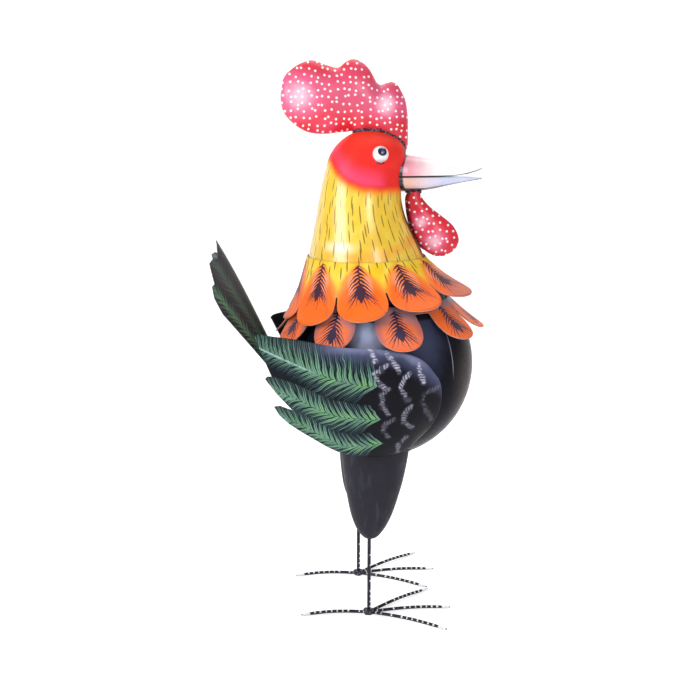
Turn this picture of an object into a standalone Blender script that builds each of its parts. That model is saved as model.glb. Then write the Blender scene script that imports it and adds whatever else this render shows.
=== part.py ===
"""Painted sheet-metal rooster figure standing on two wire feet.

Metres, +Z up. The beak points along +X and the rooster's left side is +Y.
While it is built, the centre line of the ball-shaped body stands at x = 0, y = 0
and the floor is z = 0. The last step moves everything so that the origin is the
middle of the bottom of the figure's bounding box.
"""
import math

import bmesh
import bpy
from mathutils import Vector

MM = 0.001

# Driving dimensions. The sculpted shapes are drawn in steps, so many to the body's radius,
# with their heights taken from the body's centre.
SHEET = 1.2 * MM
GAP = 0.3 * MM
BODY_RADIUS = 104 * MM
STEPS_TO_RADIUS = 104
STEP = BODY_RADIUS / STEPS_TO_RADIUS
BODY_HEIGHT = 277 * MM
PETALS = 10
PETAL_STEP = math.radians(360 / PETALS)
LEG_X = -15.5 * MM
LEG_SPACING = 99.6 * MM
LEG_ROD_RADIUS = 2.0 * MM
TOE_ROD_RADIUS = 1.75 * MM
TOE_ARCH = 2.2 * MM
CAP_WELD = 0.01 * MM
SHARP_ANGLE = math.radians(40)
ANKLE_TOP_SHARE = 0.6
TOE_TIP_SHARE = 0.6
TOE_SPREAD = math.radians(32)
FRONT_TOE_LENGTH = 93 * MM
INNER_TOE_CLEARANCE = 2.372 * MM
INNER_TOE_LENGTH = (LEG_SPACING / 2 - INNER_TOE_CLEARANCE) / math.sin(TOE_SPREAD)
BACK_TOE_LENGTH = 76 * MM
ANKLE_RADIUS = 6.5 * MM
ANKLE_HEIGHT = 5.0 * MM
THIGH_TIP_HEIGHT = 90.3 * MM
EYE_RADIUS = 8.5 * MM
WATTLE_THICKNESS = 13 * MM
COMB_THICKNESS = 30 * MM

# Neck and head, in steps: height, rearmost x, foremost x, width in Y as a share of the depth in X
NECK_STATIONS = (
    (61, -85.5, 85.5, 1),
    (75, -82, 74, 1),
    (89, -80, 64, 1),
    (103, -78, 56, 1),
    (118, -76, 49, 1),
    (133, -73, 42, 1),
    (148, -70, 34, 0.98),
    (163, -67, 27.5, 0.96),
    (178, -64.5, 24, 0.93),
    (195, -61, 23.5, 0.9),
    (211, -57, 25, 0.88),
    (223, -53.5, 28, 0.88),
    (235, -46, 26, 0.88),
    (244, -36, 17, 0.88),
    (249.5, -26, 5, 0.88),
)
HEAD_TOP = 251.5
HEAD_TOP_X = -11
EYE_X = -3.5
EYE_Y = 33
EYE_RISE = 227
EYE_PLACE = Vector((EYE_X * STEP, EYE_Y * STEP, BODY_HEIGHT + EYE_RISE * STEP))
MOUTH_RISE = 203
MOUTH_HEIGHT = BODY_HEIGHT + MOUTH_RISE * STEP

# Comb, in steps: x, underside, top and share of the full thickness
COMB_STATIONS = (
    (-103.5, 279, 288, 0.1),
    (-101, 270, 302, 0.42),
    (-92, 259, 312.5, 0.72),
    (-80, 251, 319.5, 0.88),
    (-70, 248, 321.5, 0.95),
    (-56, 247.5, 317, 1),
    (-43.5, 249, 314.5, 1),
    (-36, 249.5, 320, 1),
    (-28, 250, 323, 1),
    (-19, 243, 320, 1),
    (-11, 243, 313, 0.97),
    (-1, 241, 298, 0.9),
    (11, 235, 300.5, 0.8),
    (18.5, 231, 297.5, 0.66),
    (24, 228, 289, 0.5),
    (28, 228, 279, 0.34),
    (30.3, 235, 264, 0.08),
)

# Wattle, in steps: height from the mouth line, rear x, front x, share of the full thickness
WATTLE_STATIONS = (
    (-16, 32, 42, 0.45),
    (-23, 29.5, 46, 0.6),
    (-31, 30, 53, 0.8),
    (-41, 31.5, 66, 0.95),
    (-51, 34, 78, 1),
    (-62, 37.5, 84, 1),
    (-71, 42.5, 84, 0.9),
    (-79, 49.5, 78, 0.7),
    (-83.5, 58, 69, 0.3),
)
WATTLE_TOP_Y = 7
WATTLE_BOTTOM_Y = 17

# Beak, in steps from the mouth line: x, half width, top of the upper beak, underside of the lower beak,
# rise of the upper beak's edge and drop of the lower beak's edge off the mouth line
BEAK_STATIONS = (
    (14, 19, 25, -17, 0, 0),
    (28, 18, 23, -15.7, 0, 0),
    (44, 15.5, 20.3, -15.5, 0, 0),
    (60, 12.5, 17.5, -13, 0, 0),
    (78, 9, 14.6, -9, 0.4, 0.2),
    (95, 5.5, 11.5, -5.7, 2.6, 0.6),
    (106, 3, 9.6, -4, 5.6, 1.2),
    (111.5, 1.2, 8.8, -3, 7.6, 1.7),
)

COLLAR_SEAT_GAP = 0.7 * MM
PETAL_ROUNDING = 0.6

# Upper feather collar, with the distance of each petal's tip from the centre line
UPPER_RING_HEIGHT = 119
UPPER_TIP_HEIGHT = 69.5
UPPER_TIP_TILT = 0.16
UPPER_NOTCH = 0.58
UPPER_PETAL_WIDTH = 0.97
UPPER_TURN = math.radians(3)
UPPER_FLARE = 0.3
UPPER_REACHES = (89, 106, 107, 106, 107, 104, 107, 106, 107, 106)

# Lower feather collar
LOWER_RING_HEIGHT = 76
LOWER_TIP_HEIGHT = 38
LOWER_TIP_TILT = 0.05
LOWER_NOTCH = 0.22
LOWER_PETAL_WIDTH = 0.78
LOWER_TURN = math.radians(2.5)
LOWER_FLARE = 0.1
LOWER_REACHES = (115, 115, 121, 113, 115, 115, 113, 121, 117, 115)

# Degrees that each petal is set off from even spacing, as they are bent by hand
EVEN_SPACING = (0,) * PETALS
LOWER_OFFSETS = (0, 0, 0, 0, 0, 0, -1, 3, 7, 2)

# Wing, in steps: bowl that the sheet follows, and its outline from the side
WING_BOWL_CENTRE = Vector((-25, 0, 4))
WING_BOWL_SIZE = Vector((130, 116, 128))
WING_SEAT_GAP = 0.6 * MM
WING_SEATED_SHARE = 0.3
WING_GUIDES = (
    (0, ((50, 4), (30.5, 25.5), (-2, 37.5), (-50, 41.5), (-96.5, 46.5), (-127.5, 46))),
    (1 / 6, ((53.5, -6), (17.5, 2.5), (-22, 3), (-61.5, 11), (-99.5, 24.5), (-133.5, 37.5))),
    (1 / 2, ((54, -28), (18.5, -33.5), (-20, -32.5), (-61.5, -27), (-94.5, -11.5), (-118.5, -2.5))),
    (5 / 6, ((46, -52), (17.5, -59), (-14, -62.5), (-48, -63.5), (-83.5, -44.5), (-111.5, -32))),
    (1, ((34, -70), (18.5, -76.5), (-13.5, -80.5), (-49.5, -74), (-81.5, -56), (-102.5, -43.5))),
)
WING_REAR_EDGE = (
    (0, -127.5, 46),
    (0.05, -133, 45),
    (0.09, -136, 42.5),
    (0.2, -129.5, 28),
    (1 / 3, -120, 6.5),
    (0.36, -124.5, 5.5),
    (0.39, -126.5, 2.5),
    (0.52, -115.5, -10.5),
    (2 / 3, -99, -27),
    (0.69, -112.5, -24),
    (0.72, -118, -26),
    (0.82, -113, -34.5),
    (1, -102.5, -43.5),
)

# How far forward and up the left wing's rear end lies from the right one's, in steps
LEFT_WING_SHIFT = Vector((20, -4))

# Tail, in steps: fan of five feathers folded along its middle
TAIL_FAN_ORIGIN = -47
TAIL_FOOT_HEIGHT = -5
TAIL_LEAN = 0.45
TAIL_CURL = 5
TAIL_SWEEP = 0.5
TAIL_FOLD_ROUNDING = 4
TAIL_LOBES = (
    (0, 184),
    (2.5, 178),
    (6.5, 168),
    (9, 170.5),
    (13, 169),
    (18.5, 153),
    (21, 153.5),
    (25, 146),
    (28, 131),
)

# Thigh: share of the way up, then in steps: rear and front from the leg rod,
# lean towards the middle plane, half width in Y
THIGH_TOP = -72
THIGH_STATIONS = (
    (0, -3.2, 3.8, 0, 3.5),
    (0.015, -6.5, 8.5, 0, 7.5),
    (0.058, -11, 13.5, 0.3, 11.5),
    (0.128, -15.5, 19, 0.8, 15.5),
    (0.241, -20, 25.5, 1.8, 19),
    (0.39, -23.5, 31.5, 3.3, 22),
    (0.564, -26.5, 37.5, 5.3, 24.5),
    (0.765, -29, 42.5, 7.3, 26),
    (1, -30.5, 46.5, 8.8, 26.5),
)

# How far forward the left thigh's top lies from the right one's, in steps
LEFT_THIGH_SHIFT = 6.5


def curve_value(knots, values, at):
    """Value at a place along a smooth curve through the knots."""
    last = len(knots) - 2
    seg = 0
    while seg < last and at > knots[seg + 1]:
        seg += 1
    span = knots[seg + 1] - knots[seg]
    share = min(max((at - knots[seg]) / span, 0), 1)
    slope_in = knot_slope(knots, values, seg) * span
    slope_out = knot_slope(knots, values, seg + 1) * span
    square = share * share
    cube = square * share
    return (
        values[seg] * (2 * cube - 3 * square + 1)
        + slope_in * (cube - 2 * square + share)
        + values[seg + 1] * (3 * square - 2 * cube)
        + slope_out * (cube - square)
    )


def knot_slope(knots, values, index):
    """Slope at a knot, from its neighbours on both sides."""
    low = max(index - 1, 0)
    high = min(index + 1, len(knots) - 1)
    return (values[high] - values[low]) / (knots[high] - knots[low])


def column(rows, index):
    """One column of a table of stations."""
    return [row[index] for row in rows]


def material(name, colour, roughness, metallic=0.0):
    """Plain painted finish for one sub-part."""
    made = bpy.data.materials.new(name)
    made.use_nodes = True
    shader = made.node_tree.nodes["Principled BSDF"]
    shader.inputs["Base Color"].default_value = (*colour, 1)
    shader.inputs["Roughness"].default_value = roughness
    shader.inputs["Metallic"].default_value = metallic
    return made


def collection(name):
    """Collection in the scene."""
    made = bpy.data.collections.new(name)
    bpy.context.scene.collection.children.link(made)
    return made


def add_object(name, mesh, paint=None, cutter=False):
    """Object with its mesh in the right collection, shaded smooth."""
    made = bpy.data.objects.new(name, mesh)
    mesh.shade_smooth()
    mesh.set_sharp_from_angle(angle=SHARP_ANGLE)
    if cutter:
        cutters.objects.link(made)
        made.hide_render = True
        made.display_type = "WIRE"
    else:
        parts.objects.link(made)
        mesh.materials.append(paint)
    return made


def mesh_from_rings(name, rings, first_pole=None, last_pole=None):
    """Closed surface through rings of points, its ends closed at a pole or by a face."""
    work = bmesh.new()
    loops = [[work.verts.new(point) for point in ring] for ring in rings]
    count = len(rings[0])
    for lower, upper in zip(loops, loops[1:]):
        for i in range(count):
            after = (i + 1) % count
            work.faces.new((lower[i], lower[after], upper[after], upper[i]))
    close_end(work, loops[0], first_pole)
    close_end(work, loops[-1], last_pole)
    bmesh.ops.recalc_face_normals(work, faces=work.faces)
    mesh = bpy.data.meshes.new(name)
    work.to_mesh(mesh)
    work.free()
    return mesh


def close_end(work, loop, pole):
    """Close one end ring with a fan to its pole, or with one flat face."""
    if pole is None:
        work.faces.new(loop)
        return
    tip = work.verts.new(pole)
    for i, vert in enumerate(loop):
        work.faces.new((vert, loop[(i + 1) % len(loop)], tip))


def sheet_from_grid(name, rows, paint, around=False):
    """Thin sheet through a grid of points, as thick as the metal."""
    work = bmesh.new()
    grid = [[work.verts.new(point) for point in row] for row in rows]
    for lower, upper in zip(grid, grid[1:]):
        steps = len(lower) if around else len(lower) - 1
        for i in range(steps):
            after = (i + 1) % len(lower)
            work.faces.new((lower[i], lower[after], upper[after], upper[i]))
    bmesh.ops.recalc_face_normals(work, faces=work.faces)
    mesh = bpy.data.meshes.new(name)
    work.to_mesh(mesh)
    work.free()
    made = add_object(name, mesh, paint)
    wall = made.modifiers.new("metal thickness", "SOLIDIFY")
    wall.thickness = SHEET
    wall.offset = 0
    return made


def cut(piece, cutter):
    """Take the cutter's shape out of a piece."""
    taken = piece.modifiers.new("seat", "BOOLEAN")
    taken.operation = "DIFFERENCE"
    taken.solver = "EXACT"
    taken.object = cutter


def neck_point(angle, height, grow=0.0):
    """Point on the neck: angle 0 faces -Y and 90 degrees faces the beak."""
    heights = column(NECK_STATIONS, 0)
    rear = curve_value(heights, column(NECK_STATIONS, 1), height) * STEP
    front = curve_value(heights, column(NECK_STATIONS, 2), height) * STEP
    width = curve_value(heights, column(NECK_STATIONS, 3), height)
    half = (front - rear) / 2
    across = half * width + grow
    middle = (front + rear) / 2
    x = middle + (half + grow) * math.sin(angle)
    return Vector((x, -across * math.cos(angle), above_body(height)))


def above_body(steps):
    """Height over the floor of a place given in steps from the body's centre."""
    return BODY_HEIGHT + steps * STEP


def neck_mesh(name, grow=0.0):
    """Bell-shaped neck with the head."""
    sides = 24
    angles = [2 * math.pi * i / sides for i in range(sides)]
    rings = []
    for station in NECK_STATIONS:
        rings.append([neck_point(angle, station[0], grow) for angle in angles])
    top = (HEAD_TOP_X * STEP, 0, above_body(HEAD_TOP) + grow)
    return mesh_from_rings(name, rings, last_pole=top)


def make_neck(paint, body_cutter):
    """Neck and head in one bell, its foot cut to the body."""
    made = add_object("neck_and_head", neck_mesh("neck_and_head"), paint)
    cut(made, body_cutter)
    return made


def make_body(paint):
    """Ball-shaped body."""
    work = bmesh.new()
    bmesh.ops.create_uvsphere(work, u_segments=32, v_segments=18, radius=BODY_RADIUS)
    mesh = bpy.data.meshes.new("body")
    work.to_mesh(mesh)
    work.free()
    made = add_object("body", mesh, paint)
    made.location.z = BODY_HEIGHT
    return made


def make_body_cutter():
    """Ball a little larger than the body, for what is welded to it."""
    work = bmesh.new()
    radius = BODY_RADIUS + GAP
    bmesh.ops.create_uvsphere(work, u_segments=32, v_segments=18, radius=radius)
    mesh = bpy.data.meshes.new("body_cutter")
    work.to_mesh(mesh)
    work.free()
    made = add_object("body_cutter", mesh, cutter=True)
    made.location.z = BODY_HEIGHT
    return made


def make_comb(paint, head_cutter):
    """Pillow-shaped comb with three lobes, seated on the head."""
    around = 12
    rings = []
    for x, low, high, share in COMB_STATIONS:
        half_height = (high - low) / 2 * STEP
        middle = above_body((high + low) / 2)
        half = COMB_THICKNESS / 2 * share
        ring = []
        for i in range(around):
            turn = 2 * math.pi * i / around
            side = math.copysign(abs(math.sin(turn)) ** 1.3, math.sin(turn))
            ring.append((x * STEP, half * side, middle + half_height * math.cos(turn)))
        rings.append(ring)
    made = add_object("comb", mesh_from_rings("comb", rings), paint)
    cut(made, head_cutter)
    return made


def make_wattle(name, side, paint):
    """Flat drop that hangs under the beak."""
    around = 12
    heights = column(WATTLE_STATIONS, 0)
    rings = []
    for height, rear, front, share in WATTLE_STATIONS:
        fall = (heights[0] - height) / (heights[0] - heights[-1])
        y_middle = side * (WATTLE_TOP_Y + (WATTLE_BOTTOM_Y - WATTLE_TOP_Y) * fall) * STEP
        middle = (front + rear) / 2 * STEP
        half_long = (front - rear) / 2 * STEP
        half_thick = WATTLE_THICKNESS / 2 * share
        ring = []
        for i in range(around):
            turn = 2 * math.pi * i / around
            y = y_middle + half_thick * math.sin(turn)
            z = MOUTH_HEIGHT + height * STEP
            ring.append((middle + half_long * math.cos(turn), y, z))
        rings.append(ring)
    return add_object(name, mesh_from_rings(name, rings), paint)


def make_beak_half(name, upper, paint, head_cutter):
    """Upper or lower beak, flat along the mouth and cut to the head."""
    around = 10
    rings = []
    for x, half_width, top, underside, rise, drop in BEAK_STATIONS:
        if upper:
            edge = MOUTH_HEIGHT + GAP / 2 + rise * STEP
            crown = MOUTH_HEIGHT + top * STEP
        else:
            edge = MOUTH_HEIGHT - GAP / 2 - drop * STEP
            crown = MOUTH_HEIGHT + underside * STEP
        ring = []
        for i in range(around):
            turn = math.pi * i / (around - 1)
            y = half_width * STEP * math.cos(turn)
            z = edge + (crown - edge) * math.sin(turn) ** 0.8
            ring.append((x * STEP, y, z))
        rings.append(ring)
    made = add_object(name, mesh_from_rings(name, rings), paint)
    cut(made, head_cutter)
    return made


def make_eye(name, side, paint, head_cutter):
    """Ball eye set into the side of the head."""
    work = bmesh.new()
    bmesh.ops.create_uvsphere(work, u_segments=14, v_segments=9, radius=EYE_RADIUS)
    mesh = bpy.data.meshes.new(name)
    work.to_mesh(mesh)
    work.free()
    made = add_object(name, mesh, paint)
    made.location = (EYE_PLACE.x, side * EYE_PLACE.y, EYE_PLACE.z)
    cut(made, head_cutter)
    return made


def petal_columns(width, first_angle, offsets):
    """Angles around a collar, each with its share of a petal's rounded end."""
    steps = 6
    columns = []
    for petal in range(PETALS):
        centre = first_angle + petal * PETAL_STEP + math.radians(offsets[petal])
        for i in range(steps + 1):
            turn = math.pi * (i / steps - 0.5)
            if width >= UPPER_PETAL_WIDTH and i == steps:
                continue
            angle = centre + PETAL_STEP / 2 * width * math.sin(turn)
            columns.append((petal, angle, max(math.cos(turn), 0) ** PETAL_ROUNDING))
    return columns


def collar_point(angle, ring_height, tip, fall, flare):
    """Point on a collar between its ring on the neck and a tip in the open."""
    base = neck_point(angle, ring_height, COLLAR_SEAT_GAP + SHEET / 2)
    out = fall * (1 - flare) + flare * fall**5
    x = base.x + (tip.x - base.x) * out
    y = base.y + (tip.y - base.y) * out
    return Vector((x, y, base.z + (tip.z - base.z) * fall))


def make_collar(
    name, paint, first_angle, offsets, width, notch, ring_height, tip_height, tilt, reaches, flare
):
    """Scalloped skirt of petals around the neck, cut from one sheet."""
    columns = petal_columns(width, first_angle, offsets)
    row_count = 4
    rows = []
    for row in range(row_count + 1):
        points = []
        for petal, angle, lobe in columns:
            reach = reaches[petal] * STEP
            x = reach * math.sin(angle)
            tip = Vector((x, -reach * math.cos(angle), above_body(tip_height) + tilt * x))
            end = notch + (1 - notch) * lobe
            points.append(collar_point(angle, ring_height, tip, end * row / row_count, flare))
        rows.append(points)
    return sheet_from_grid(name, rows, paint, around=True)


def bowl_depth(x, z):
    """Distance of the wing's bowl from the middle plane at a place seen from the side."""
    across = (x - WING_BOWL_CENTRE.x) / WING_BOWL_SIZE.x
    up = (z - WING_BOWL_CENTRE.z) / WING_BOWL_SIZE.z
    return WING_BOWL_SIZE.y * math.sqrt(max(1 - across**2 - up**2, 0.02))


def wing_outline_point(along, down):
    """Place on the wing seen from the side, from its front edge and its top edge."""
    spots = []
    share_knots = [i / (len(WING_GUIDES[0][1]) - 1) for i in range(len(WING_GUIDES[0][1]))]
    for _, guide in WING_GUIDES:
        x = curve_value(share_knots, column(guide, 0), along)
        z = curve_value(share_knots, column(guide, 1), along)
        spots.append((x, z))
    downs = column(WING_GUIDES, 0)
    x = curve_value(downs, column(spots, 0), down)
    z = curve_value(downs, column(spots, 1), down)
    return Vector((x, z))


def wing_point(along, down, side):
    """Point on the wing, with feather tips at the rear and its front on the body."""
    spot = wing_outline_point(along, down)
    edges = column(WING_REAR_EDGE, 0)
    index = min(range(len(edges)), key=lambda i: abs(edges[i] - down))
    edge = Vector((WING_REAR_EDGE[index][1], WING_REAR_EDGE[index][2]))
    spot += (edge - wing_outline_point(1, down)) * along**5
    if side > 0:
        spot += LEFT_WING_SHIFT * along
    point = Vector((spot.x, -bowl_depth(spot.x, spot.y), spot.y)) * STEP
    seat = BODY_RADIUS + WING_SEAT_GAP + SHEET / 2
    closeness = max(1 - along / WING_SEATED_SHARE, 0) ** 2
    point *= 1 + (seat / point.length - 1) * closeness
    return Vector((point.x, -side * point.y, point.z + BODY_HEIGHT))


def make_wing(name, side, paint):
    """Domed wing with three feather tips, welded to the body along its front edge."""
    steps = 11
    rows = []
    for i in range(steps + 1):
        rows.append([wing_point(i / steps, edge[0], side) for edge in WING_REAR_EDGE])
    return sheet_from_grid(name, rows, paint)


def tail_point(angle, distance):
    """Point on the folded fan, at a distance in steps from where its feathers meet."""
    y = distance * math.sin(angle)
    height = TAIL_FAN_ORIGIN + distance * math.cos(angle)
    climb = height - TAIL_FOOT_HEIGHT
    longest = TAIL_FAN_ORIGIN - TAIL_FOOT_HEIGHT + TAIL_LOBES[0][1]
    swept = TAIL_SWEEP * (math.hypot(y, TAIL_FOLD_ROUNDING) - TAIL_FOLD_ROUNDING)
    lean = TAIL_LEAN * climb + TAIL_CURL * (climb / longest) ** 4
    foot = BODY_RADIUS + GAP + SHEET
    foot_x = -math.sqrt(foot**2 - (TAIL_FOOT_HEIGHT * STEP) ** 2)
    x = foot_x - (lean + swept) * STEP
    return Vector((x, y * STEP, above_body(height)))


def make_tail(paint):
    """Fan of feathers folded along its middle, its foot welded to the body."""
    angles = [math.radians(lobe[0]) for lobe in TAIL_LOBES]
    lengths = column(TAIL_LOBES, 1)
    columns = [(-a, d) for a, d in zip(angles[:0:-1], lengths[:0:-1])]
    columns += list(zip(angles, lengths))
    steps = 7
    rows = []
    for i in range(steps + 1):
        points = []
        for angle, length in columns:
            start = (TAIL_FOOT_HEIGHT - TAIL_FAN_ORIGIN) / math.cos(angle)
            points.append(tail_point(angle, start + (length - start) * i / steps))
        rows.append(points)
    return sheet_from_grid("tail", rows, paint)


def make_thigh(name, side, paint, body_cutter):
    """Tapered thigh, its top cut to the body."""
    around = 16
    rings = []
    for share, rear, front, lean, half_width in THIGH_STATIONS:
        height = THIGH_TIP_HEIGHT + share * (above_body(THIGH_TOP) - THIGH_TIP_HEIGHT)
        middle = LEG_X + (rear + front) / 2 * STEP
        if side > 0:
            middle += LEFT_THIGH_SHIFT * share * STEP
        half_long = (front - rear) / 2 * STEP
        y_middle = side * (LEG_SPACING / 2 - lean * STEP)
        ring = []
        for i in range(around):
            turn = 2 * math.pi * i / around
            y = y_middle + half_width * STEP * math.sin(turn)
            ring.append((middle + half_long * math.cos(turn), y, height))
        rings.append(ring)
    made = add_object(name, mesh_from_rings(name, rings), paint)
    cut(made, body_cutter)
    return made


def make_rod(name, points, radius, paint, tip_share=1.0):
    """Round rod along a line of points, made a closed mesh."""
    curve = bpy.data.curves.new(name, "CURVE")
    curve.dimensions = "3D"
    curve.bevel_depth = radius
    curve.bevel_resolution = 2
    curve.use_fill_caps = True
    spline = curve.splines.new("POLY")
    spline.points.add(len(points) - 1)
    for knot, point in zip(spline.points, points):
        knot.co = (*point, 1)
    spline.points[-1].radius = tip_share
    guide = bpy.data.objects.new(name + "_curve", curve)
    cutters.objects.link(guide)
    depsgraph = bpy.context.evaluated_depsgraph_get()
    mesh = bpy.data.meshes.new_from_object(guide.evaluated_get(depsgraph))
    mesh.name = name
    bpy.data.objects.remove(guide)
    work = bmesh.new()
    work.from_mesh(mesh)
    bmesh.ops.remove_doubles(work, verts=work.verts, dist=CAP_WELD)
    bmesh.ops.recalc_face_normals(work, faces=work.faces)
    work.to_mesh(mesh)
    work.free()
    mesh.materials.clear()
    return add_object(name, mesh, paint)


def make_ankle(name, side, paint):
    """Weld pad that joins the toes under the leg rod and rests on the floor."""
    work = bmesh.new()
    bmesh.ops.create_cone(
        work,
        cap_ends=True,
        segments=12,
        radius1=ANKLE_RADIUS,
        radius2=ANKLE_RADIUS * ANKLE_TOP_SHARE,
        depth=ANKLE_HEIGHT,
    )
    mesh = bpy.data.meshes.new(name)
    work.to_mesh(mesh)
    work.free()
    made = add_object(name, mesh, paint)
    made.location = (LEG_X, side * LEG_SPACING / 2, ANKLE_HEIGHT / 2)
    return made


def make_toe(name, side, direction, length, paint):
    """Gently arched wire toe that ends in a claw on the floor."""
    start = ANKLE_RADIUS + GAP
    steps = 5
    points = []
    for i in range(steps + 1):
        share = i / steps
        out = start + (length - start) * share
        lift = TOE_ROD_RADIUS + TOE_ARCH * math.sin(math.pi * share)
        x = LEG_X + out * math.cos(direction)
        y = side * (LEG_SPACING / 2 + out * math.sin(direction))
        points.append((x, y, lift))
    return make_rod(name, points, TOE_ROD_RADIUS, paint, tip_share=TOE_TIP_SHARE)


def make_foot(side_name, side, rod_paint, pad_paint):
    """Leg rod, weld pad, three front toes and one back toe."""
    y = side * LEG_SPACING / 2
    top = (LEG_X, y, THIGH_TIP_HEIGHT - GAP)
    foot = (LEG_X, y, ANKLE_HEIGHT + GAP)
    make_rod("leg_rod_" + side_name, [foot, top], LEG_ROD_RADIUS, rod_paint)
    make_ankle("ankle_" + side_name, side, pad_paint)
    toes = (
        ("inner_toe_", -TOE_SPREAD, INNER_TOE_LENGTH),
        ("middle_toe_", 0.0, FRONT_TOE_LENGTH),
        ("outer_toe_", TOE_SPREAD, FRONT_TOE_LENGTH),
        ("back_toe_", math.pi, BACK_TOE_LENGTH),
    )
    for toe_name, direction, length in toes:
        make_toe(toe_name + side_name, side, direction, length, rod_paint)


def move_origin():
    """Put the origin under the middle of the finished figure's bounding box."""
    bpy.context.view_layer.update()
    depsgraph = bpy.context.evaluated_depsgraph_get()
    low = Vector((math.inf,) * 3)
    high = Vector((-math.inf,) * 3)
    for piece in parts.objects:
        shown = piece.evaluated_get(depsgraph)
        for vert in shown.data.vertices:
            place = shown.matrix_world @ vert.co
            low = Vector(map(min, low, place))
            high = Vector(map(max, high, place))
    shift = Vector(((low.x + high.x) / 2, (low.y + high.y) / 2, low.z))
    for piece in [*parts.objects, *cutters.objects]:
        piece.location -= shift


for old in list(bpy.data.objects):
    bpy.data.objects.remove(old)

parts = collection("metal_rooster_figure")
cutters = collection("cutters")

black = material("body_black", (0.03, 0.035, 0.05), 0.3, 0.2)
charcoal = material("thigh_charcoal", (0.03, 0.03, 0.04), 0.5, 0.1)
yellow = material("neck_yellow", (0.85, 0.6, 0.06), 0.3)
red = material("comb_red", (0.75, 0.03, 0.07), 0.3)
ivory = material("beak_ivory", (0.85, 0.8, 0.8), 0.35)
white = material("eye_white", (0.9, 0.9, 0.92), 0.25)
orange = material("petal_orange", (0.95, 0.2, 0.03), 0.35)
green = material("wing_green", (0.08, 0.2, 0.13), 0.35)
dark_green = material("tail_green", (0.05, 0.1, 0.08), 0.4)
wire = material("wire_black", (0.02, 0.02, 0.025), 0.45, 0.3)

head_seat = add_object("head_cutter", neck_mesh("head_cutter", GAP), cutter=True)
body_seat = make_body_cutter()

make_body(black)
make_neck(yellow, body_seat)
make_comb(red, head_seat)
make_beak_half("beak_upper", True, ivory, head_seat)
make_beak_half("beak_lower", False, ivory, head_seat)
make_collar(
    "upper_feather_collar",
    orange,
    math.radians(90) + UPPER_TURN,
    EVEN_SPACING,
    UPPER_PETAL_WIDTH,
    UPPER_NOTCH,
    UPPER_RING_HEIGHT,
    UPPER_TIP_HEIGHT,
    UPPER_TIP_TILT,
    UPPER_REACHES,
    UPPER_FLARE,
)
make_collar(
    "lower_feather_collar",
    orange,
    math.radians(90) + PETAL_STEP / 2 + LOWER_TURN,
    LOWER_OFFSETS,
    LOWER_PETAL_WIDTH,
    LOWER_NOTCH,
    LOWER_RING_HEIGHT,
    LOWER_TIP_HEIGHT,
    LOWER_TIP_TILT,
    LOWER_REACHES,
    LOWER_FLARE,
)
make_tail(dark_green)
for name_end, sign in (("left", 1), ("right", -1)):
    make_wattle("wattle_" + name_end, sign, red)
    make_eye("eye_" + name_end, sign, white, head_seat)
    make_wing("wing_" + name_end, sign, green)
    make_thigh("thigh_" + name_end, sign, charcoal, body_seat)
    make_foot(name_end, sign, wire, wire)
move_origin()
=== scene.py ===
# %% [markdown]
# A painted metal rooster stands on two wire feet. It is pressed and cut from thin sheet,
# welded together and then painted by hand with an airbrush and fine brushes.
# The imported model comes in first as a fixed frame. Every finer piece below is built on
# the same measures, so it lands exactly where the solid it stands for is.

# %% Load the frame
import math

import bmesh
import bpy
import numpy as np
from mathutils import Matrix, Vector


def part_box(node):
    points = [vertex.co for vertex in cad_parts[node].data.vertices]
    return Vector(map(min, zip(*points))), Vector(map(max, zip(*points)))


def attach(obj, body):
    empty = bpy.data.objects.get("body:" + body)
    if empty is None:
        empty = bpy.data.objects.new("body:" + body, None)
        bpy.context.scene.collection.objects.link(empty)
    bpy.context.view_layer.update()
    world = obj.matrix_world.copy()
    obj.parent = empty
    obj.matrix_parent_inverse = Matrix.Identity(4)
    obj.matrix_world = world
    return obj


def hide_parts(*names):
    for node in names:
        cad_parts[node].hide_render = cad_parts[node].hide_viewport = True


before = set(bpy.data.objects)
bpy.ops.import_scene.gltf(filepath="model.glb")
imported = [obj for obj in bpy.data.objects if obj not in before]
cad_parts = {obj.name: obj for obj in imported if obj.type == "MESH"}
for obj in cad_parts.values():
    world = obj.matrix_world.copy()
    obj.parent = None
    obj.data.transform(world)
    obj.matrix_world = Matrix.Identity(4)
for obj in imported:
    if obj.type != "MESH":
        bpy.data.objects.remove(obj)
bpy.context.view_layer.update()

MM = 0.001
ball_low, ball_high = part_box("body")
BALL = (Vector(ball_low) + Vector(ball_high)) / 2
BALL_RADIUS = (ball_high[2] - ball_low[2]) / 2 / MM
print("ball centre", tuple(round(v, 4) for v in BALL), "radius", round(BALL_RADIUS, 1), "mm")

# %% [markdown]
# The camera stands a metre off the figure's right side, level with the top of its head,
# so it looks slightly down on the back. These numbers come from lining up the ball, the
# feet and the beak with the photograph. They are kept as an offset from the ball and a
# height above the floor.

# %% Camera
CAMERA_OFFSET = (-0.1465, -1.0444)
CAMERA_HEIGHT = 0.5277
CAMERA_TILT = math.radians(77.3244)
CAMERA_TURN = math.radians(-6.2955)
camera_data = bpy.data.cameras.new("camera")
camera_data.lens = 50.15
camera_data.sensor_width = 36
camera = bpy.data.objects.new("camera", camera_data)
camera.location = (BALL.x + CAMERA_OFFSET[0], BALL.y + CAMERA_OFFSET[1], CAMERA_HEIGHT)
camera.rotation_euler = (CAMERA_TILT, 0, CAMERA_TURN)
bpy.context.scene.collection.objects.link(camera)
bpy.context.scene.camera = camera
print("camera", tuple(round(v, 4) for v in camera.location))

# %% [markdown]
# Glossy paint shows whatever stands around it, so the lamps matter as much as the paint.
# A large soft box at the left gives the broad glow on the neck and comb, a narrow one to
# the right of the camera the thin streak, and one above lights the floor. The floor runs
# up behind the figure in one sweep with no corner. The plain display setting shows each
# paint in the colour it is mixed in.

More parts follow.
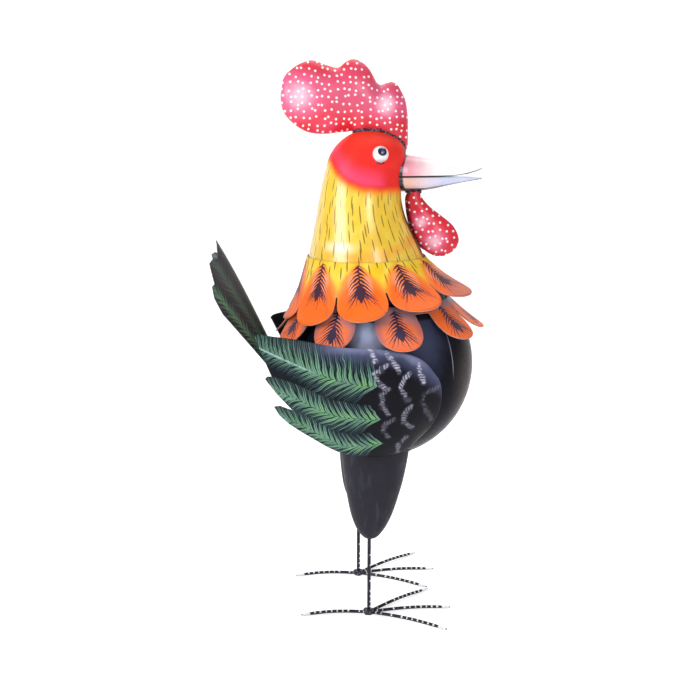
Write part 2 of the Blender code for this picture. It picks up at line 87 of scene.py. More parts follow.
# %% Floor and lights
def soft_box(name, place, aim, width, height, watts):
    """Rectangular studio lamp turned towards a point."""
    data = bpy.data.lights.new(name, "AREA")
    data.shape = "RECTANGLE"
    data.size = width
    data.size_y = height
    data.energy = watts
    lamp = bpy.data.objects.new(name, data)
    lamp.location = place
    lamp.rotation_euler = (Vector(aim) - Vector(place)).to_track_quat("-Z", "Y").to_euler()
    bpy.context.scene.collection.objects.link(lamp)


def pale_floor():
    """Floor that sweeps up into a backdrop, in metres."""
    half_width = 9.0
    near = -7.0
    back = 4.5
    bend = 1.2
    height = 7.0
    bend_steps = 16
    profile = [(near, 0.0), (back, 0.0)]
    for i in range(1, bend_steps + 1):
        turn = math.pi / 2 * i / bend_steps
        profile.append((back + bend * math.sin(turn), bend * (1 - math.cos(turn))))
    profile.append((back + bend, height))
    points = [(x, y, z) for y, z in profile for x in (-half_width, half_width)]
    faces = [(2 * i, 2 * i + 1, 2 * i + 3, 2 * i + 2) for i in range(len(profile) - 1)]
    mesh = bpy.data.meshes.new("floor")
    mesh.from_pydata(points, [], faces)
    mesh.shade_smooth()
    floor = bpy.data.objects.new("floor", mesh)
    bpy.context.scene.collection.objects.link(floor)
    return floor


floor = pale_floor()
LAMP_AIM = (0, 0, 0.33)
soft_box("left box", (-1.75, -1.0, 1.15), LAMP_AIM, 0.9, 1.2, 27)
soft_box("streak box", (0.68, -2.1, 1.3), LAMP_AIM, 0.4, 1.0, 11)
soft_box("top box", (0.2, 0.5, 2.2), LAMP_AIM, 1.8, 1.4, 20)
world = bpy.data.worlds.new("studio")
world.use_nodes = True
world.node_tree.nodes["Background"].inputs["Color"].default_value = (1, 1, 1, 1)
world.node_tree.nodes["Background"].inputs["Strength"].default_value = 0.4
bpy.context.scene.world = world
bpy.context.scene.view_settings.view_transform = "Standard"

# %% [markdown]
# Brushwork is worked out by the material at every point of the surface, so it stays
# sharp however close the camera comes. Math nodes do the sums. Value wraps one node
# output so that a pattern can be written as ordinary arithmetic.

# %% Sums in a material
def feed(tree, slot, value):
    """Join a slot of a node to a value or another socket, or set it to a plain number."""
    if isinstance(value, Value):
        value = value.socket
    if isinstance(value, bpy.types.NodeSocket):
        tree.links.new(value, slot)
    else:
        slot.default_value = value


class Value:
    """A number that a material works out at each point of a surface."""

    def __init__(self, tree, socket):
        self.tree = tree
        self.socket = socket

    def math(self, operation, *others):
        node = self.tree.nodes.new("ShaderNodeMath")
        node.operation = operation
        for slot, value in zip(node.inputs, (self, *others)):
            feed(self.tree, slot, value)
        return Value(self.tree, node.outputs[0])

    def __add__(self, other):
        return self.math("ADD", other)

    def __sub__(self, other):
        return self.math("SUBTRACT", other)

    def __mul__(self, other):
        return self.math("MULTIPLY", other)

    def __truediv__(self, other):
        return self.math("DIVIDE", other)

    def size(self):
        return self.math("ABSOLUTE")

    def fraction(self):
        return self.math("FRACT")

    def whole(self):
        return self.math("FLOOR")

    def power(self, other):
        return self.math("POWER", other)

    def flip(self):
        return (self * -1) + 1

    def ramp(self, start, stop):
        """0 before start and 1 after stop, with a soft change between."""
        node = self.tree.nodes.new("ShaderNodeMapRange")
        node.interpolation_type = "SMOOTHSTEP"
        for label, value in (("Value", self), ("From Min", start), ("From Max", stop)):
            feed(self.tree, node.inputs[label], value)
        return Value(self.tree, node.outputs[0])


def tint(red, green, blue):
    """Paint colour given as it looks on a screen, 0 to 255."""
    shares = [c / 255 for c in (red, green, blue)]
    linear = [s / 12.92 if s < 0.04 else ((s + 0.055) / 1.055) ** 2.4 for s in shares]
    return (*linear, 1)


MIX_SHARE = 0
MIX_FIRST = 6
MIX_SECOND = 7
MIX_RESULT = 2
LACQUER_ROUGHNESS = 0.12
MOTTLE_SHARE = 0.55
GLOSS_CHANGE = 0.22
GRAIN_HEIGHT = 0.05
DENT_HEIGHT = 0.5
RELIEF_STRENGTH = 0.6


class Paint:
    """One painted finish, built up in coats of colour."""

    def __init__(self, name, colour, roughness, coat=0.0, metallic=0.0, shine=0.4):
        self.material = bpy.data.materials.new(name)
        self.material.use_nodes = True
        self.tree = self.material.node_tree
        self.shader = self.tree.nodes["Principled BSDF"]
        self.shader.inputs["Coat Weight"].default_value = coat
        self.shader.inputs["Coat Roughness"].default_value = LACQUER_ROUGHNESS
        self.shader.inputs["Metallic"].default_value = metallic
        self.shader.inputs["Specular IOR Level"].default_value = shine
        self.roughness = roughness
        self.colour = colour
        self.heights = []
        self.placed = None

    def drive(self, label, value):
        """Let a value set one of the shader's own inputs."""
        feed(self.tree, self.shader.inputs[label], value)

    def place(self):
        """Millimetres from the ball's centre along X, Y and Z."""
        if not self.placed:
            node = self.tree.nodes.new("ShaderNodeTexCoord")
            split = self.tree.nodes.new("ShaderNodeSeparateXYZ")
            self.tree.links.new(node.outputs["Object"], split.inputs[0])
            found = [Value(self.tree, socket) for socket in split.outputs]
            self.placed = [(value - centre) * (1 / MM) for value, centre in zip(found, BALL)]
        return self.placed

    def uv(self, name):
        """The two numbers of a UV map."""
        node = self.tree.nodes.new("ShaderNodeUVMap")
        node.uv_map = name
        split = self.tree.nodes.new("ShaderNodeSeparateXYZ")
        self.tree.links.new(node.outputs[0], split.inputs[0])
        return Value(self.tree, split.outputs[0]), Value(self.tree, split.outputs[1])

    def joined(self, *values):
        """Several numbers joined as one vector."""
        node = self.tree.nodes.new("ShaderNodeCombineXYZ")
        for slot, value in zip(node.inputs, values):
            feed(self.tree, slot, value)
        return node.outputs[0]

    def noise(self, spacing, detail=2.0, stretch=(1, 1, 1)):
        """Cloudy variation about 0.5, its lumps a spacing in millimetres apart."""
        x, y, z = self.place()
        where = self.joined(x * stretch[0], y * stretch[1], z * stretch[2])
        node = self.tree.nodes.new("ShaderNodeTexNoise")
        node.inputs["Scale"].default_value = 1 / spacing
        node.inputs["Detail"].default_value = detail
        self.tree.links.new(where, node.inputs["Vector"])
        return Value(self.tree, node.outputs[0])

    def chance(self, first, second=0.0):
        """A fixed random number from 0 to 1 for each pair of whole numbers."""
        node = self.tree.nodes.new("ShaderNodeTexWhiteNoise")
        node.noise_dimensions = "2D"
        self.tree.links.new(self.joined(first, second, 0.0), node.inputs["Vector"])
        return Value(self.tree, node.outputs[0])

    def dots(self, first, second, spacing, unevenness):
        """Distance in millimetres to the nearest of a spread of dots."""
        node = self.tree.nodes.new("ShaderNodeTexVoronoi")
        node.voronoi_dimensions = "2D"
        node.inputs["Scale"].default_value = 1 / spacing
        node.inputs["Randomness"].default_value = unevenness
        self.tree.links.new(self.joined(first, second, 0.0), node.inputs["Vector"])
        return Value(self.tree, node.outputs[0]) * spacing

    def coat(self, share, colour):
        """Lay a colour over what is there, by a share from 0 to 1."""
        node = self.tree.nodes.new("ShaderNodeMix")
        node.data_type = "RGBA"
        for number, value in ((MIX_SHARE, share), (MIX_FIRST, self.colour), (MIX_SECOND, colour)):
            feed(self.tree, node.inputs[number], value)
        self.colour = node.outputs[MIX_RESULT]

    def blend(self, share, first, second):
        """Colour that goes from the first to the second with a share."""
        kept = self.colour
        self.colour = first
        self.coat(share, second)
        made = self.colour
        self.colour = kept
        return made

    def relief(self, height):
        """Add a height in millimetres to the surface's fine relief."""
        self.heights.append(height)

    def finish(self):
        """Mottle the colour and gloss, and join everything to the shader."""
        cloud = self.noise(22, 4)
        shade = self.blend(cloud.ramp(0.25, 0.75), (0.80, 0.80, 0.80, 1), (1, 1, 1, 1))
        node = self.tree.nodes.new("ShaderNodeMix")
        node.data_type = "RGBA"
        node.blend_type = "MULTIPLY"
        for number, value in ((MIX_SHARE, MOTTLE_SHARE), (MIX_FIRST, self.colour), (MIX_SECOND, shade)):
            feed(self.tree, node.inputs[number], value)
        self.drive("Base Color", node.outputs[MIX_RESULT])
        self.drive("Roughness", (self.noise(7, 3) - 0.5) * GLOSS_CHANGE + self.roughness)
        grain = (self.noise(2.2, 3) - 0.5) * GRAIN_HEIGHT
        dents = (self.noise(26, 1) - 0.5) * DENT_HEIGHT
        height = grain + dents
        for extra in self.heights:
            height = height + extra
        bump = self.tree.nodes.new("ShaderNodeBump")
        for label, value in (("Strength", RELIEF_STRENGTH), ("Distance", MM), ("Height", height)):
            feed(self.tree, bump.inputs[label], value)
        self.drive("Normal", bump.outputs[0])
        return self.material


print("paint tools ready")

# %% [markdown]
# Sheet metal that is pressed or rolled follows smooth curves. Each form below is drawn
# as a grid of points, in millimetres from the ball's centre, that runs through the same
# measured stations as the solid but with many more rows. A grid is easy to shade
# smoothly, and its UV map can carry places such as how far along a feather a point is.

# %% Skins from grids of points
def smooth_curve(knots, values, at):
    """Values at places along a smooth curve through the knots."""
    knots = np.asarray(knots, float)
    values = np.asarray(values, float)
    at = np.asarray(at, float)
    low = np.maximum(np.arange(len(knots)) - 1, 0)
    high = np.minimum(np.arange(len(knots)) + 1, len(knots) - 1)
    slopes = (values[high] - values[low]) / (knots[high] - knots[low])
    seg = np.clip(np.searchsorted(knots, at) - 1, 0, len(knots) - 2)
    span = knots[seg + 1] - knots[seg]
    share = np.clip((at - knots[seg]) / span, 0, 1)
    square = share**2
    cube = share**3
    return (
        values[seg] * (2 * cube - 3 * square + 1)
        + slopes[seg] * span * (cube - 2 * square + share)
        + values[seg + 1] * (3 * square - 2 * cube)
        + slopes[seg + 1] * span * (cube - square)
    )


def skin(name, rows, materials, around=False, first_pole=None, last_pole=None, maps=None, wall=0.0):
    """Mesh piece through a grid of points, closed where it is given a pole."""
    rows = np.asarray(rows, float)
    row_count, count = rows.shape[:2]
    work = bmesh.new()
    points = rows.reshape(-1, 3) * MM + np.array(BALL)
    verts = [work.verts.new(point) for point in points]
    layers = {key: work.loops.layers.uv.new(key) for key in (maps or {})}
    span = count if around else count - 1
    for r in range(row_count - 1):
        for c in range(span):
            after = (c + 1) % count
            corners = ((r, c, 0), (r, after, 1), (r + 1, after, 1), (r + 1, c, 0))
            face = work.faces.new([verts[i * count + j] for i, j, _ in corners])
            for key, layer in layers.items():
                for loop, (i, _, right) in zip(face.loops, corners):
                    loop[layer].uv = maps[key][right][i, c]
    for pole, r in ((first_pole, 0), (last_pole, row_count - 1)):
        if pole is None:
            continue
        tip = work.verts.new(np.asarray(pole) * MM + np.array(BALL))
        for c in range(span):
            after = (c + 1) % count
            face = work.faces.new((verts[r * count + c], verts[r * count + after], tip))
            for key, layer in layers.items():
                for loop, right in zip(face.loops, (0, 1, 0)):
                    loop[layer].uv = maps[key][right][r, c]
    bmesh.ops.recalc_face_normals(work, faces=work.faces)
    outward = sum(f.normal.dot(f.calc_center_median() - BALL) * f.calc_area() for f in work.faces)
    if wall and outward < 0:
        bmesh.ops.reverse_faces(work, faces=work.faces)
    mesh = bpy.data.meshes.new(name)
    work.to_mesh(mesh)
    work.free()
    mesh.shade_smooth()
    for material in materials:
        mesh.materials.append(material)
    made = bpy.data.objects.new(name, mesh)
    bpy.context.scene.collection.objects.link(made)
    if wall:
        metal = made.modifiers.new("metal thickness", "SOLIDIFY")
        metal.thickness = wall * MM
        metal.offset = 0
        metal.material_offset = 1
        metal.material_offset_rim = 2
    return made


def turns_round(count):
    """Even turns round a ring, in radians."""
    return 2 * np.pi * np.arange(count) / count


def even_shares(steps):
    """Shares from 0 to 1 in even steps, both ends included."""
    return np.arange(steps + 1) / steps


def crowded_ends(first, last, steps):
    """Places from first to last that lie closer together at both ends."""
    return first + (last - first) * (1 - np.cos(np.pi * even_shares(steps))) / 2


def end_middles(rows):
    """Middle of the first row and of the last, to close a form with."""
    return [rows[i].mean(axis=0) for i in (0, -1)]


def ball_skin(name, radius, centre, bands, around, material):
    """Round ball of rings and two poles."""
    heights = np.pi * (np.arange(1, bands) / bands - 0.5)
    turns = turns_round(around)
    rows = np.zeros((bands - 1, around, 3))
    rows[..., 0] = np.cos(heights)[:, None] * np.sin(turns)
    rows[..., 1] = -np.cos(heights)[:, None] * np.cos(turns)
    rows[..., 2] = np.sin(heights)[:, None]
    poles = [np.asarray(centre) + (0, 0, way * radius) for way in (-1, 1)]
    return skin(name, rows * radius + centre, [material], True, *poles)


def turn_map(rows):
    """UV map with the turn round a form, 0 to 1, and the height in millimetres."""
    count = rows.shape[1]
    left = np.zeros(rows.shape[:2] + (2,))
    left[..., 0] = np.arange(count)[None, :] / count
    left[..., 1] = rows[..., 2]
    right = left.copy()
    right[..., 0] += 1 / count
    right[..., 1] = np.roll(rows[..., 2], -1, axis=1)
    return left, right


def finished(piece, slot, *nodes):
    """Hide the solids a piece stands for, and let the piece ride on the one body."""
    if nodes:
        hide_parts(*nodes)
    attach(piece, "root")
    print(piece.name, len(piece.data.polygons), "faces")


SIDES = (("left", 1), ("right", -1))

# %% [markdown]
# The body is a ball of two pressed half shells. They meet on an upright seam that is
# slightly raised and painted as a pale hair line of highlight. The paint is a deep
# blue-black enamel, with patches of painted sheen and a painted brownish reflection at
# the lower right. A fine ball with the seam in its material keeps the outline round.

# %% Ball body
SEAM_TURN = math.radians(41)
SEAM_RELIEF = 0.25
BALL_SHEEN_PATCHES = (
    (26, 52, 50, 0.55, tint(84, 90, 120)),
    (-26, 56, 30, 0.9, tint(176, 184, 218)),
)


def enamel_paint():
    """Blue-black enamel with two patches of painted sheen, a painted brownish reflection and a painted
    highlight along the seam.
    """
    paint = Paint("body enamel", tint(18, 19, 26), 0.3, shine=0.03)
    x, y, z = paint.place()
    cloud = (paint.noise(20, 2) - 0.5) * 16
    # Two pale blue-grey patches of painted sheen on the upper front of the ball.
    for centre_x, centre_z, size, share, colour in BALL_SHEEN_PATCHES:
        far = (x - centre_x) * (x - centre_x) + (z - centre_z) * (z - centre_z) * 0.5
        paint.coat((far.power(0.5) + cloud).ramp(size, size * 0.2) * share, colour)
    # A painted brownish reflection along the lower right of the ball.
    paint.coat(x.ramp(62, 102) * z.ramp(50, 0) * 0.5, tint(96, 78, 74))
    off_seam = (x * math.cos(SEAM_TURN) + y * math.sin(SEAM_TURN)).size()
    seam = off_seam.ramp(0.35, 0.8).flip() * z.ramp(-4, 14)
    # The seam is painted as a pale hair line of highlight over its slight real ridge.
    paint.coat(seam * 0.75, tint(168, 168, 182))
    paint.relief(seam * SEAM_RELIEF)
    return paint.finish()


finished(ball_skin("ball_body", BALL_RADIUS, (0, 0, 0), 72, 128, enamel_paint()), "body_black", "body")

# %% [markdown]
# Neck and head are one bell of rolled sheet. Yellow is sprayed first, then a red face
# with a soft edge, and short dark strokes are drawn by brush from the face down to the
# feathers. The strokes follow the flare, so they are laid out on the turn round the
# neck and its height: rows of cells, each with one stroke a little out of place.

# %% Neck and head
NECK_STATIONS = np.array((
    (61, -85.5, 85.5, 1),
    (75, -82, 74, 1),
    (89, -80, 64, 1),
    (103, -78, 56, 1),
    (118, -76, 49, 1),
    (133, -73, 42, 1),
    (148, -70, 34, 0.98),
    (163, -67, 27.5, 0.96),
    (178, -64.5, 24, 0.93),
    (195, -61, 23.5, 0.9),
    (211, -57, 25, 0.88),
    (223, -53.5, 28, 0.88),
    (235, -46, 26, 0.88),
    (244, -36, 17, 0.88),
    (249.5, -26, 5, 0.88),
))
HEAD_TOP = (-11, 0, 251.5)
BELL_INSIDE = (-10, 0, 66)
DOME_START = 235
STROKE_ROW = 18.0
STROKE_TOP = 195
STROKES_AT_TOP = 21
STROKE_GROWTH = 0.0011
FACE_EDGE = 190
FACE_REAR_DROP = 32
CREASE_HEIGHT = 124


def neck_half(height, side):
    """Rear (1) or front (2) of the neck, or its width share (3), at a height."""
    return smooth_curve(NECK_STATIONS[:, 0], NECK_STATIONS[:, side], height)


def neck_point(angle, height, grow=0.0):
    """Points on the neck: angle 0 faces the camera side and 90 degrees the beak."""
    rear = neck_half(height, 1)
    front = neck_half(height, 2)
    half = (front - rear) / 2
    across = half * neck_half(height, 3) + grow
    x = (front + rear) / 2 + (half + grow) * np.sin(angle)
    y = -across * np.cos(angle)
    return np.stack(np.broadcast_arrays(x, y, np.asarray(height, float)), axis=-1)


def brush_strokes(paint, turn, height, shift, seed):
    """Thin upright strokes, one in each cell of rows round the neck."""
    row = (height / STROKE_ROW + shift).whole()
    level = (row - shift + 0.5) * STROKE_ROW
    below_top = ((level * -1) + STROKE_TOP).math("MAXIMUM", 0.0)
    count = (below_top * below_top * STROKE_GROWTH + STROKES_AT_TOP).whole()
    place = turn * count + paint.chance(row, seed + 0.5)
    column = place.whole()
    luck = paint.chance(column + seed, row)
    second_luck = paint.chance(column + seed + 57, row)
    across = place.fraction() - 0.5 + (luck - 0.5) * 0.5
    along = (height / STROKE_ROW + shift).fraction() - 0.5 + (second_luck - 0.5) * 0.3
    along = along.size()
    width = along.ramp(0.1, 0.42).flip() * 0.026 + 0.020
    return (across.size() / width).ramp(0.75, 1.25).flip() * along.ramp(0.34, 0.38).flip()


def feather_yellow(paint, turn, height):
    """Yellow enamel with upright streaks, the pale ones painted highlight, and dark strokes, shared by the
    neck and the collar.
    """
    streak = paint.noise(10, 3, (1, 1, 0.15))
    # Upright streaks at random: the pale ones are painted highlight, the deeper ones a change of tone.
    paint.coat(streak.ramp(0.45, 0.75) * 0.5, tint(252, 228, 110))
    paint.coat(streak.ramp(0.5, 0.2) * 0.4, tint(228, 170, 16))
    strokes = brush_strokes(paint, turn, height, 0.0, 3.0)
    strokes = strokes.math("MAXIMUM", brush_strokes(paint, turn, height, 0.5, 11.0))
    return strokes


def neck_paint():
    """Yellow neck, red face and pink cheek."""
    paint = Paint("neck and face", tint(242, 200, 40), 0.42)
    turn, height = paint.uv("neck")
    x, y, z = paint.place()
    strokes = feather_yellow(paint, turn, height)
    front = y.ramp(0, -10)
    # Painted shade: an orange band along the crease above the upper collar, on the camera side.
    crease = z - CREASE_HEIGHT - (x + 44).size() * 0.02 - x.ramp(-10, 44) * 15
    paint.coat(crease.size().ramp(9, 1) * x.ramp(-75, -40) * front * 0.5, tint(250, 152, 30))
    # Painted highlight: a pale band just above the crease, on the camera side.
    crease_highlight = (crease - 9).size().ramp(8, 1) * x.ramp(-26, -42) * x.ramp(-66, -54)
    paint.coat(crease_highlight * front * 0.6, tint(255, 248, 214))
    rear = (((turn * (2 * math.pi)).math("SINE") * -0.5) + 0.5).power(4.4)
    edge = height - rear * FACE_REAR_DROP - FACE_EDGE + (paint.noise(9) - 0.5) * 3
    paint.coat(strokes * edge.ramp(3, -3) * 0.85, tint(104, 74, 14))
    paint.coat(edge.ramp(-9, 1), tint(248, 140, 36))
    paint.coat(edge.ramp(-4, 5), tint(238, 46, 40))
    cheek = edge.ramp(1, 7) * edge.ramp(26, 8) * x.ramp(8, -8) * x.ramp(-58, -38)
    paint.coat(cheek * 0.9, tint(250, 74, 112))
    brow = turn.ramp(0.168, 0.19) * turn.ramp(0.33, 0.31) * z.ramp(214, 220) * z.ramp(238, 232)
    paint.coat(brow * 0.7, tint(96, 60, 84))
    paint.coat(z.ramp(224, 250) * 0.35, tint(250, 84, 50))
    throat = turn.ramp(0.176, 0.192) * turn.ramp(0.33, 0.31) * z.ramp(182, 170)
    paint.coat(throat * 0.9, tint(34, 22, 22))
    # Painted shade: the neck below the upper collar's ring is painted near black, where the petals shade it.
    paint.coat(z.ramp(113, 110), tint(26, 24, 30))
    glossy = edge.ramp(2, -10) * z.ramp(112, 116)
    paint.roughness = glossy * -0.14 + 0.46
    paint.drive("Coat Weight", glossy * 0.8)
    paint.drive("Specular IOR Level", glossy * 0.5 + 0.12)
    paint.drive("Coat Roughness", 0.22)
    return paint.finish()


def neck_and_head():
    """Bell of rolled sheet with a domed head."""
    bell = np.linspace(NECK_STATIONS[0, 0], DOME_START, 110)
    dome = np.linspace(DOME_START + 1, NECK_STATIONS[-1, 0], 14)
    heights = np.concatenate([bell, dome])
    rows = neck_point(turns_round(128)[None, :], heights[:, None])
    top = np.array(HEAD_TOP, float)
    last = rows[-1]
    caps = []
    for share in (0.88, 0.72, 0.54, 0.36, 0.18):
        ring = top + (last - top) * share
        ring[:, 2] = top[2] - (top[2] - last[0, 2]) * share**2
        caps.append(ring)
    rows = np.concatenate([rows, np.array(caps)])
    maps = {"neck": turn_map(rows)}
    return skin("neck_and_head_skin", rows, [neck_paint()], True, BELL_INSIDE, HEAD_TOP, maps)


finished(neck_and_head(), "neck_yellow", "neck_and_head")

# %% [markdown]
# The comb and the wattles are two pressed shells each, welded rim to rim, so they look
# like small pillows with a sharp seam. They are red with pink where the airbrush went
# lightly, with pink and near-white patches of painted highlight on the bulges, and dotted
# by hand with white. The dots come from a cell pattern that keeps its points apart, seen from the side.

# %% Comb
COMB_THICKNESS = 30
DOT_SPACING = 6.9
DOT_SCATTER = 0.58
DOT_RELIEF = 0.06
COMB_HIGHLIGHTS = ((-84, 286, 19), (5, 277, 15))
COMB_STATIONS = np.array((
    (-103.5, 279, 288, 0.1),
    (-101, 270, 302, 0.42),
    (-92, 259, 312.5, 0.72),
    (-80, 251, 319.5, 0.88),
    (-70, 248, 321.5, 0.95),
    (-56, 247.5, 317, 1),
    (-43.5, 249, 314.5, 1),
    (-36, 249.5, 320, 1),
    (-28, 250, 323, 1),
    (-19, 243, 320, 1),
    (-11, 243, 313, 0.97),
    (-1, 241, 298, 0.9),
    (11, 235, 300.5, 0.8),
    (18.5, 231, 297.5, 0.66),
    (24, 228, 289, 0.5),
    (28, 228, 279, 0.34),
    (30.3, 235, 264, 0.08),
))


def dotted_red(name, seam_y, highlight_patches):
    """Red enamel with patches of painted pink and white highlight, white dots and a dark line along the
    seam.
    """
    paint = Paint(name, tint(218, 34, 54), 0.36, coat=0.12)
    x, y, z = paint.place()
    cloud = paint.noise(40, 1)
    middle = (z - 284 + x * 0.1 + (cloud - 0.5) * 24).size().ramp(28, 8)
    paint.coat(middle * 0.7, tint(220, 96, 134))
    paint.coat(cloud.ramp(0.5, 0.7) * 0.5, tint(232, 88, 128))
    paint.coat(cloud.ramp(0.42, 0.25) * 0.4, tint(204, 22, 36))
    # Pink and near-white patches of painted highlight on the bulges.
    for cx, cz, size in highlight_patches:
        far = ((x - cx) * (x - cx) + (z - cz) * (z - cz)).power(0.5)
        far = far + (paint.noise(12, 2) - 0.5) * 8
        paint.coat(far.ramp(size * 1.7, size * 0.5) * 0.7, tint(238, 104, 150))
        paint.coat(far.ramp(size, 0) * 0.75, tint(255, 222, 236))
    wobble = paint.noise(4) - 0.5
    near = paint.dots(x + wobble, z, DOT_SPACING, DOT_SCATTER)
    dots = near.ramp(1.0, 1.45).flip()
    paint.coat(dots * 0.97, tint(255, 248, 246))
    off_seam = (y.size() - seam_y(z)).size()
    seam = off_seam.ramp(0.3, 1.1).flip()
    paint.coat(seam * 0.85, tint(70, 22, 54))
    paint.relief(dots * DOT_RELIEF)
    return paint.finish()


def comb_ring(x, turns):
    """Ring of points round the comb at a place along it."""
    low = smooth_curve(COMB_STATIONS[:, 0], COMB_STATIONS[:, 1], x)
    high = smooth_curve(COMB_STATIONS[:, 0], COMB_STATIONS[:, 2], x)
    half = COMB_THICKNESS / 2 * smooth_curve(COMB_STATIONS[:, 0], COMB_STATIONS[:, 3], x)
    side = np.sign(np.sin(turns)) * np.abs(np.sin(turns)) ** 1.3
    z = (low + high) / 2 + (high - low) / 2 * np.cos(turns)
    return np.stack(np.broadcast_arrays(x, half * side, z), axis=-1)


def comb():
    """Pillow-shaped comb with three lobes."""
    xs = crowded_ends(COMB_STATIONS[0, 0], COMB_STATIONS[-1, 0], 120)
    rows = comb_ring(xs[:, None], turns_round(72)[None, :])
    red = dotted_red("comb red", lambda z: z * 0, COMB_HIGHLIGHTS)
    return skin("comb_skin", rows, [red], True, *end_middles(rows))


finished(comb(), "comb_red", "comb")

# %% [markdown]
# Two wattles hang side by side under the beak. Each is a drop pressed from sheet that
# leans a little away from the middle towards its lower end.

# %% Wattles
WATTLE_THICKNESS = 13
WATTLE_TOP_Y = 7
WATTLE_BOTTOM_Y = 17
WATTLE_HIGHLIGHTS = ((43, 156, 8), (58, 136, 11))
MOUTH = 203
WATTLE_STATIONS = np.array((
    (-83.5, 58, 69, 0.3),
    (-79, 49.5, 78, 0.7),
    (-71, 42.5, 84, 0.9),
    (-62, 37.5, 84, 1),
    (-51, 34, 78, 1),
    (-41, 31.5, 66, 0.95),
    (-31, 30, 53, 0.8),
    (-23, 29.5, 46, 0.6),
    (-16, 32, 42, 0.45),
))


def wattle_middle(z):
    """Distance of a wattle's seam from the middle plane, at a height."""
    top = MOUTH + WATTLE_STATIONS[-1, 0]
    bottom = MOUTH + WATTLE_STATIONS[0, 0]
    slope = (WATTLE_BOTTOM_Y - WATTLE_TOP_Y) / (bottom - top)
    return (z - top) * slope + WATTLE_TOP_Y


def wattle(name, side, red):
    """Drop-shaped pillow under the beak."""
    stations = WATTLE_STATIONS[:, 0]
    heights = crowded_ends(stations[0], stations[-1], 60)
    rear, front, share = (smooth_curve(stations, WATTLE_STATIONS[:, i], heights) for i in (1, 2, 3))
    turns = turns_round(48)
    swell = np.sign(np.sin(turns)) * np.abs(np.sin(turns)) ** 1.15
    rows = np.zeros((len(heights), len(turns), 3))
    rows[..., 0] = ((rear + front) / 2)[:, None] + ((front - rear) / 2)[:, None] * np.cos(turns)
    middle = side * wattle_middle(heights + MOUTH)
    rows[..., 1] = middle[:, None] + (WATTLE_THICKNESS / 2 * share)[:, None] * swell
    rows[..., 2] = (heights + MOUTH)[:, None]
    return skin(name, rows, [red], True, *end_middles(rows))


wattle_red = dotted_red("wattle red", wattle_middle, WATTLE_HIGHLIGHTS)
for side_name, side in SIDES:
    finished(wattle("wattle_skin_" + side_name, side, wattle_red), "comb_red", "wattle_" + side_name)

# %% [markdown]
# The beak is two small folded shells with a dark mouth line between. It is ivory with
# pink airbrushed at its root, and the lower half goes from peach to a cool lilac.
# A thick dark line of brushwork hides the weld to the head.

# %% Beak
HALF_GAP = 0.15
BEAK_STATIONS = np.array((
    (14, 19, 25, -17, 0, 0),
    (28, 18, 23, -15.7, 0, 0),
    (44, 15.5, 20.3, -15.5, 0, 0),
    (60, 12.5, 17.5, -13, 0, 0),
    (78, 9, 14.6, -9, 0.4, 0.2),
    (95, 5.5, 11.5, -5.7, 2.6, 0.6),
    (106, 3, 9.6, -4, 5.6, 1.2),
    (111.5, 1.2, 8.8, -3, 7.6, 1.7),
))


def beak_paint(upper):
    """Ivory with a pink root above, peach to lilac below, and dark edges."""
    colour = tint(255, 252, 253) if upper else tint(204, 212, 242)
    paint = Paint("upper beak" if upper else "lower beak", colour, 0.3, coat=0.4)
    x, y, z = paint.place()
    ragged = x + (paint.noise(8) - 0.5) * 8
    if upper:
        paint.coat(ragged.ramp(62, 26) * 0.9, tint(246, 150, 170))
    else:
        paint.coat(ragged.ramp(74, 40) * 0.9, tint(238, 218, 230))
        paint.coat(ragged.ramp(50, 28) * 0.9, tint(240, 192, 170))
    root = x + y * y * 0.0216 + (paint.noise(3, 2) - 0.5) * 1.6
    paint.coat(root.ramp(30.8, 28.6), tint(30, 20, 34))
    if upper:
        opening = (x - 76).math("MAXIMUM", 0.0).power(1.6) * 0.0255
        above = z - MOUTH - opening + x.ramp(80, 112) * 0.6
        paint.coat(above.ramp(1.6, 1.0), tint(22, 20, 30))
    else:
        paint.coat((z - MOUTH).ramp(-0.9, -0.4) * x.ramp(90, 50), tint(22, 20, 30))
        deepest = (x - 48).math("MAXIMUM", 0.0) * -0.205 + 15.6
        paint.coat((z * -1 + MOUTH - deepest * 0.76).ramp(-0.4, 0.5) * 0.9, tint(40, 40, 62))
    return paint.finish()


def beak_half(name, upper):
    """Upper or lower shell of the beak."""
    stations = BEAK_STATIONS[:, 0]
    xs = np.linspace(stations[0], stations[-1], 80)
    columns = [np.interp(xs, stations, BEAK_STATIONS[:, i]) for i in range(1, 6)]
    half, top, underside, rise, drop = columns
    edge = MOUTH + HALF_GAP + rise if upper else MOUTH - HALF_GAP - drop
    crown = MOUTH + (top if upper else underside)
    over = np.pi * even_shares(32)
    rows = np.zeros((len(xs), len(over), 3))
    rows[..., 0] = xs[:, None]
    rows[..., 1] = half[:, None] * np.cos(over)
    rows[..., 2] = edge[:, None] + (crown - edge)[:, None] * np.sin(over) ** 0.8
    return skin(name, rows, [beak_paint(upper)], True, *end_middles(rows))


finished(beak_half("beak_upper_skin", True), "beak_ivory", "beak_upper")
finished(beak_half("beak_lower_skin", False), "beak_ivory", "beak_lower")

# %% [markdown]
# The eyes are steel balls welded to the head and painted white with a dark blue pupil
# that looks a little up and forward. A small grey-blue fleck is the painted glint, and the
# lower part of the white is greyed as painted shade.

# %% Eyes
EYE_RADIUS = 8.5
EYE = np.array((-3.5, 33, 227))
PUPIL_WAY = np.array((0.15, 0.9, 0.42))
GLINT_WAY = PUPIL_WAY + (0.02, 0, -0.14)


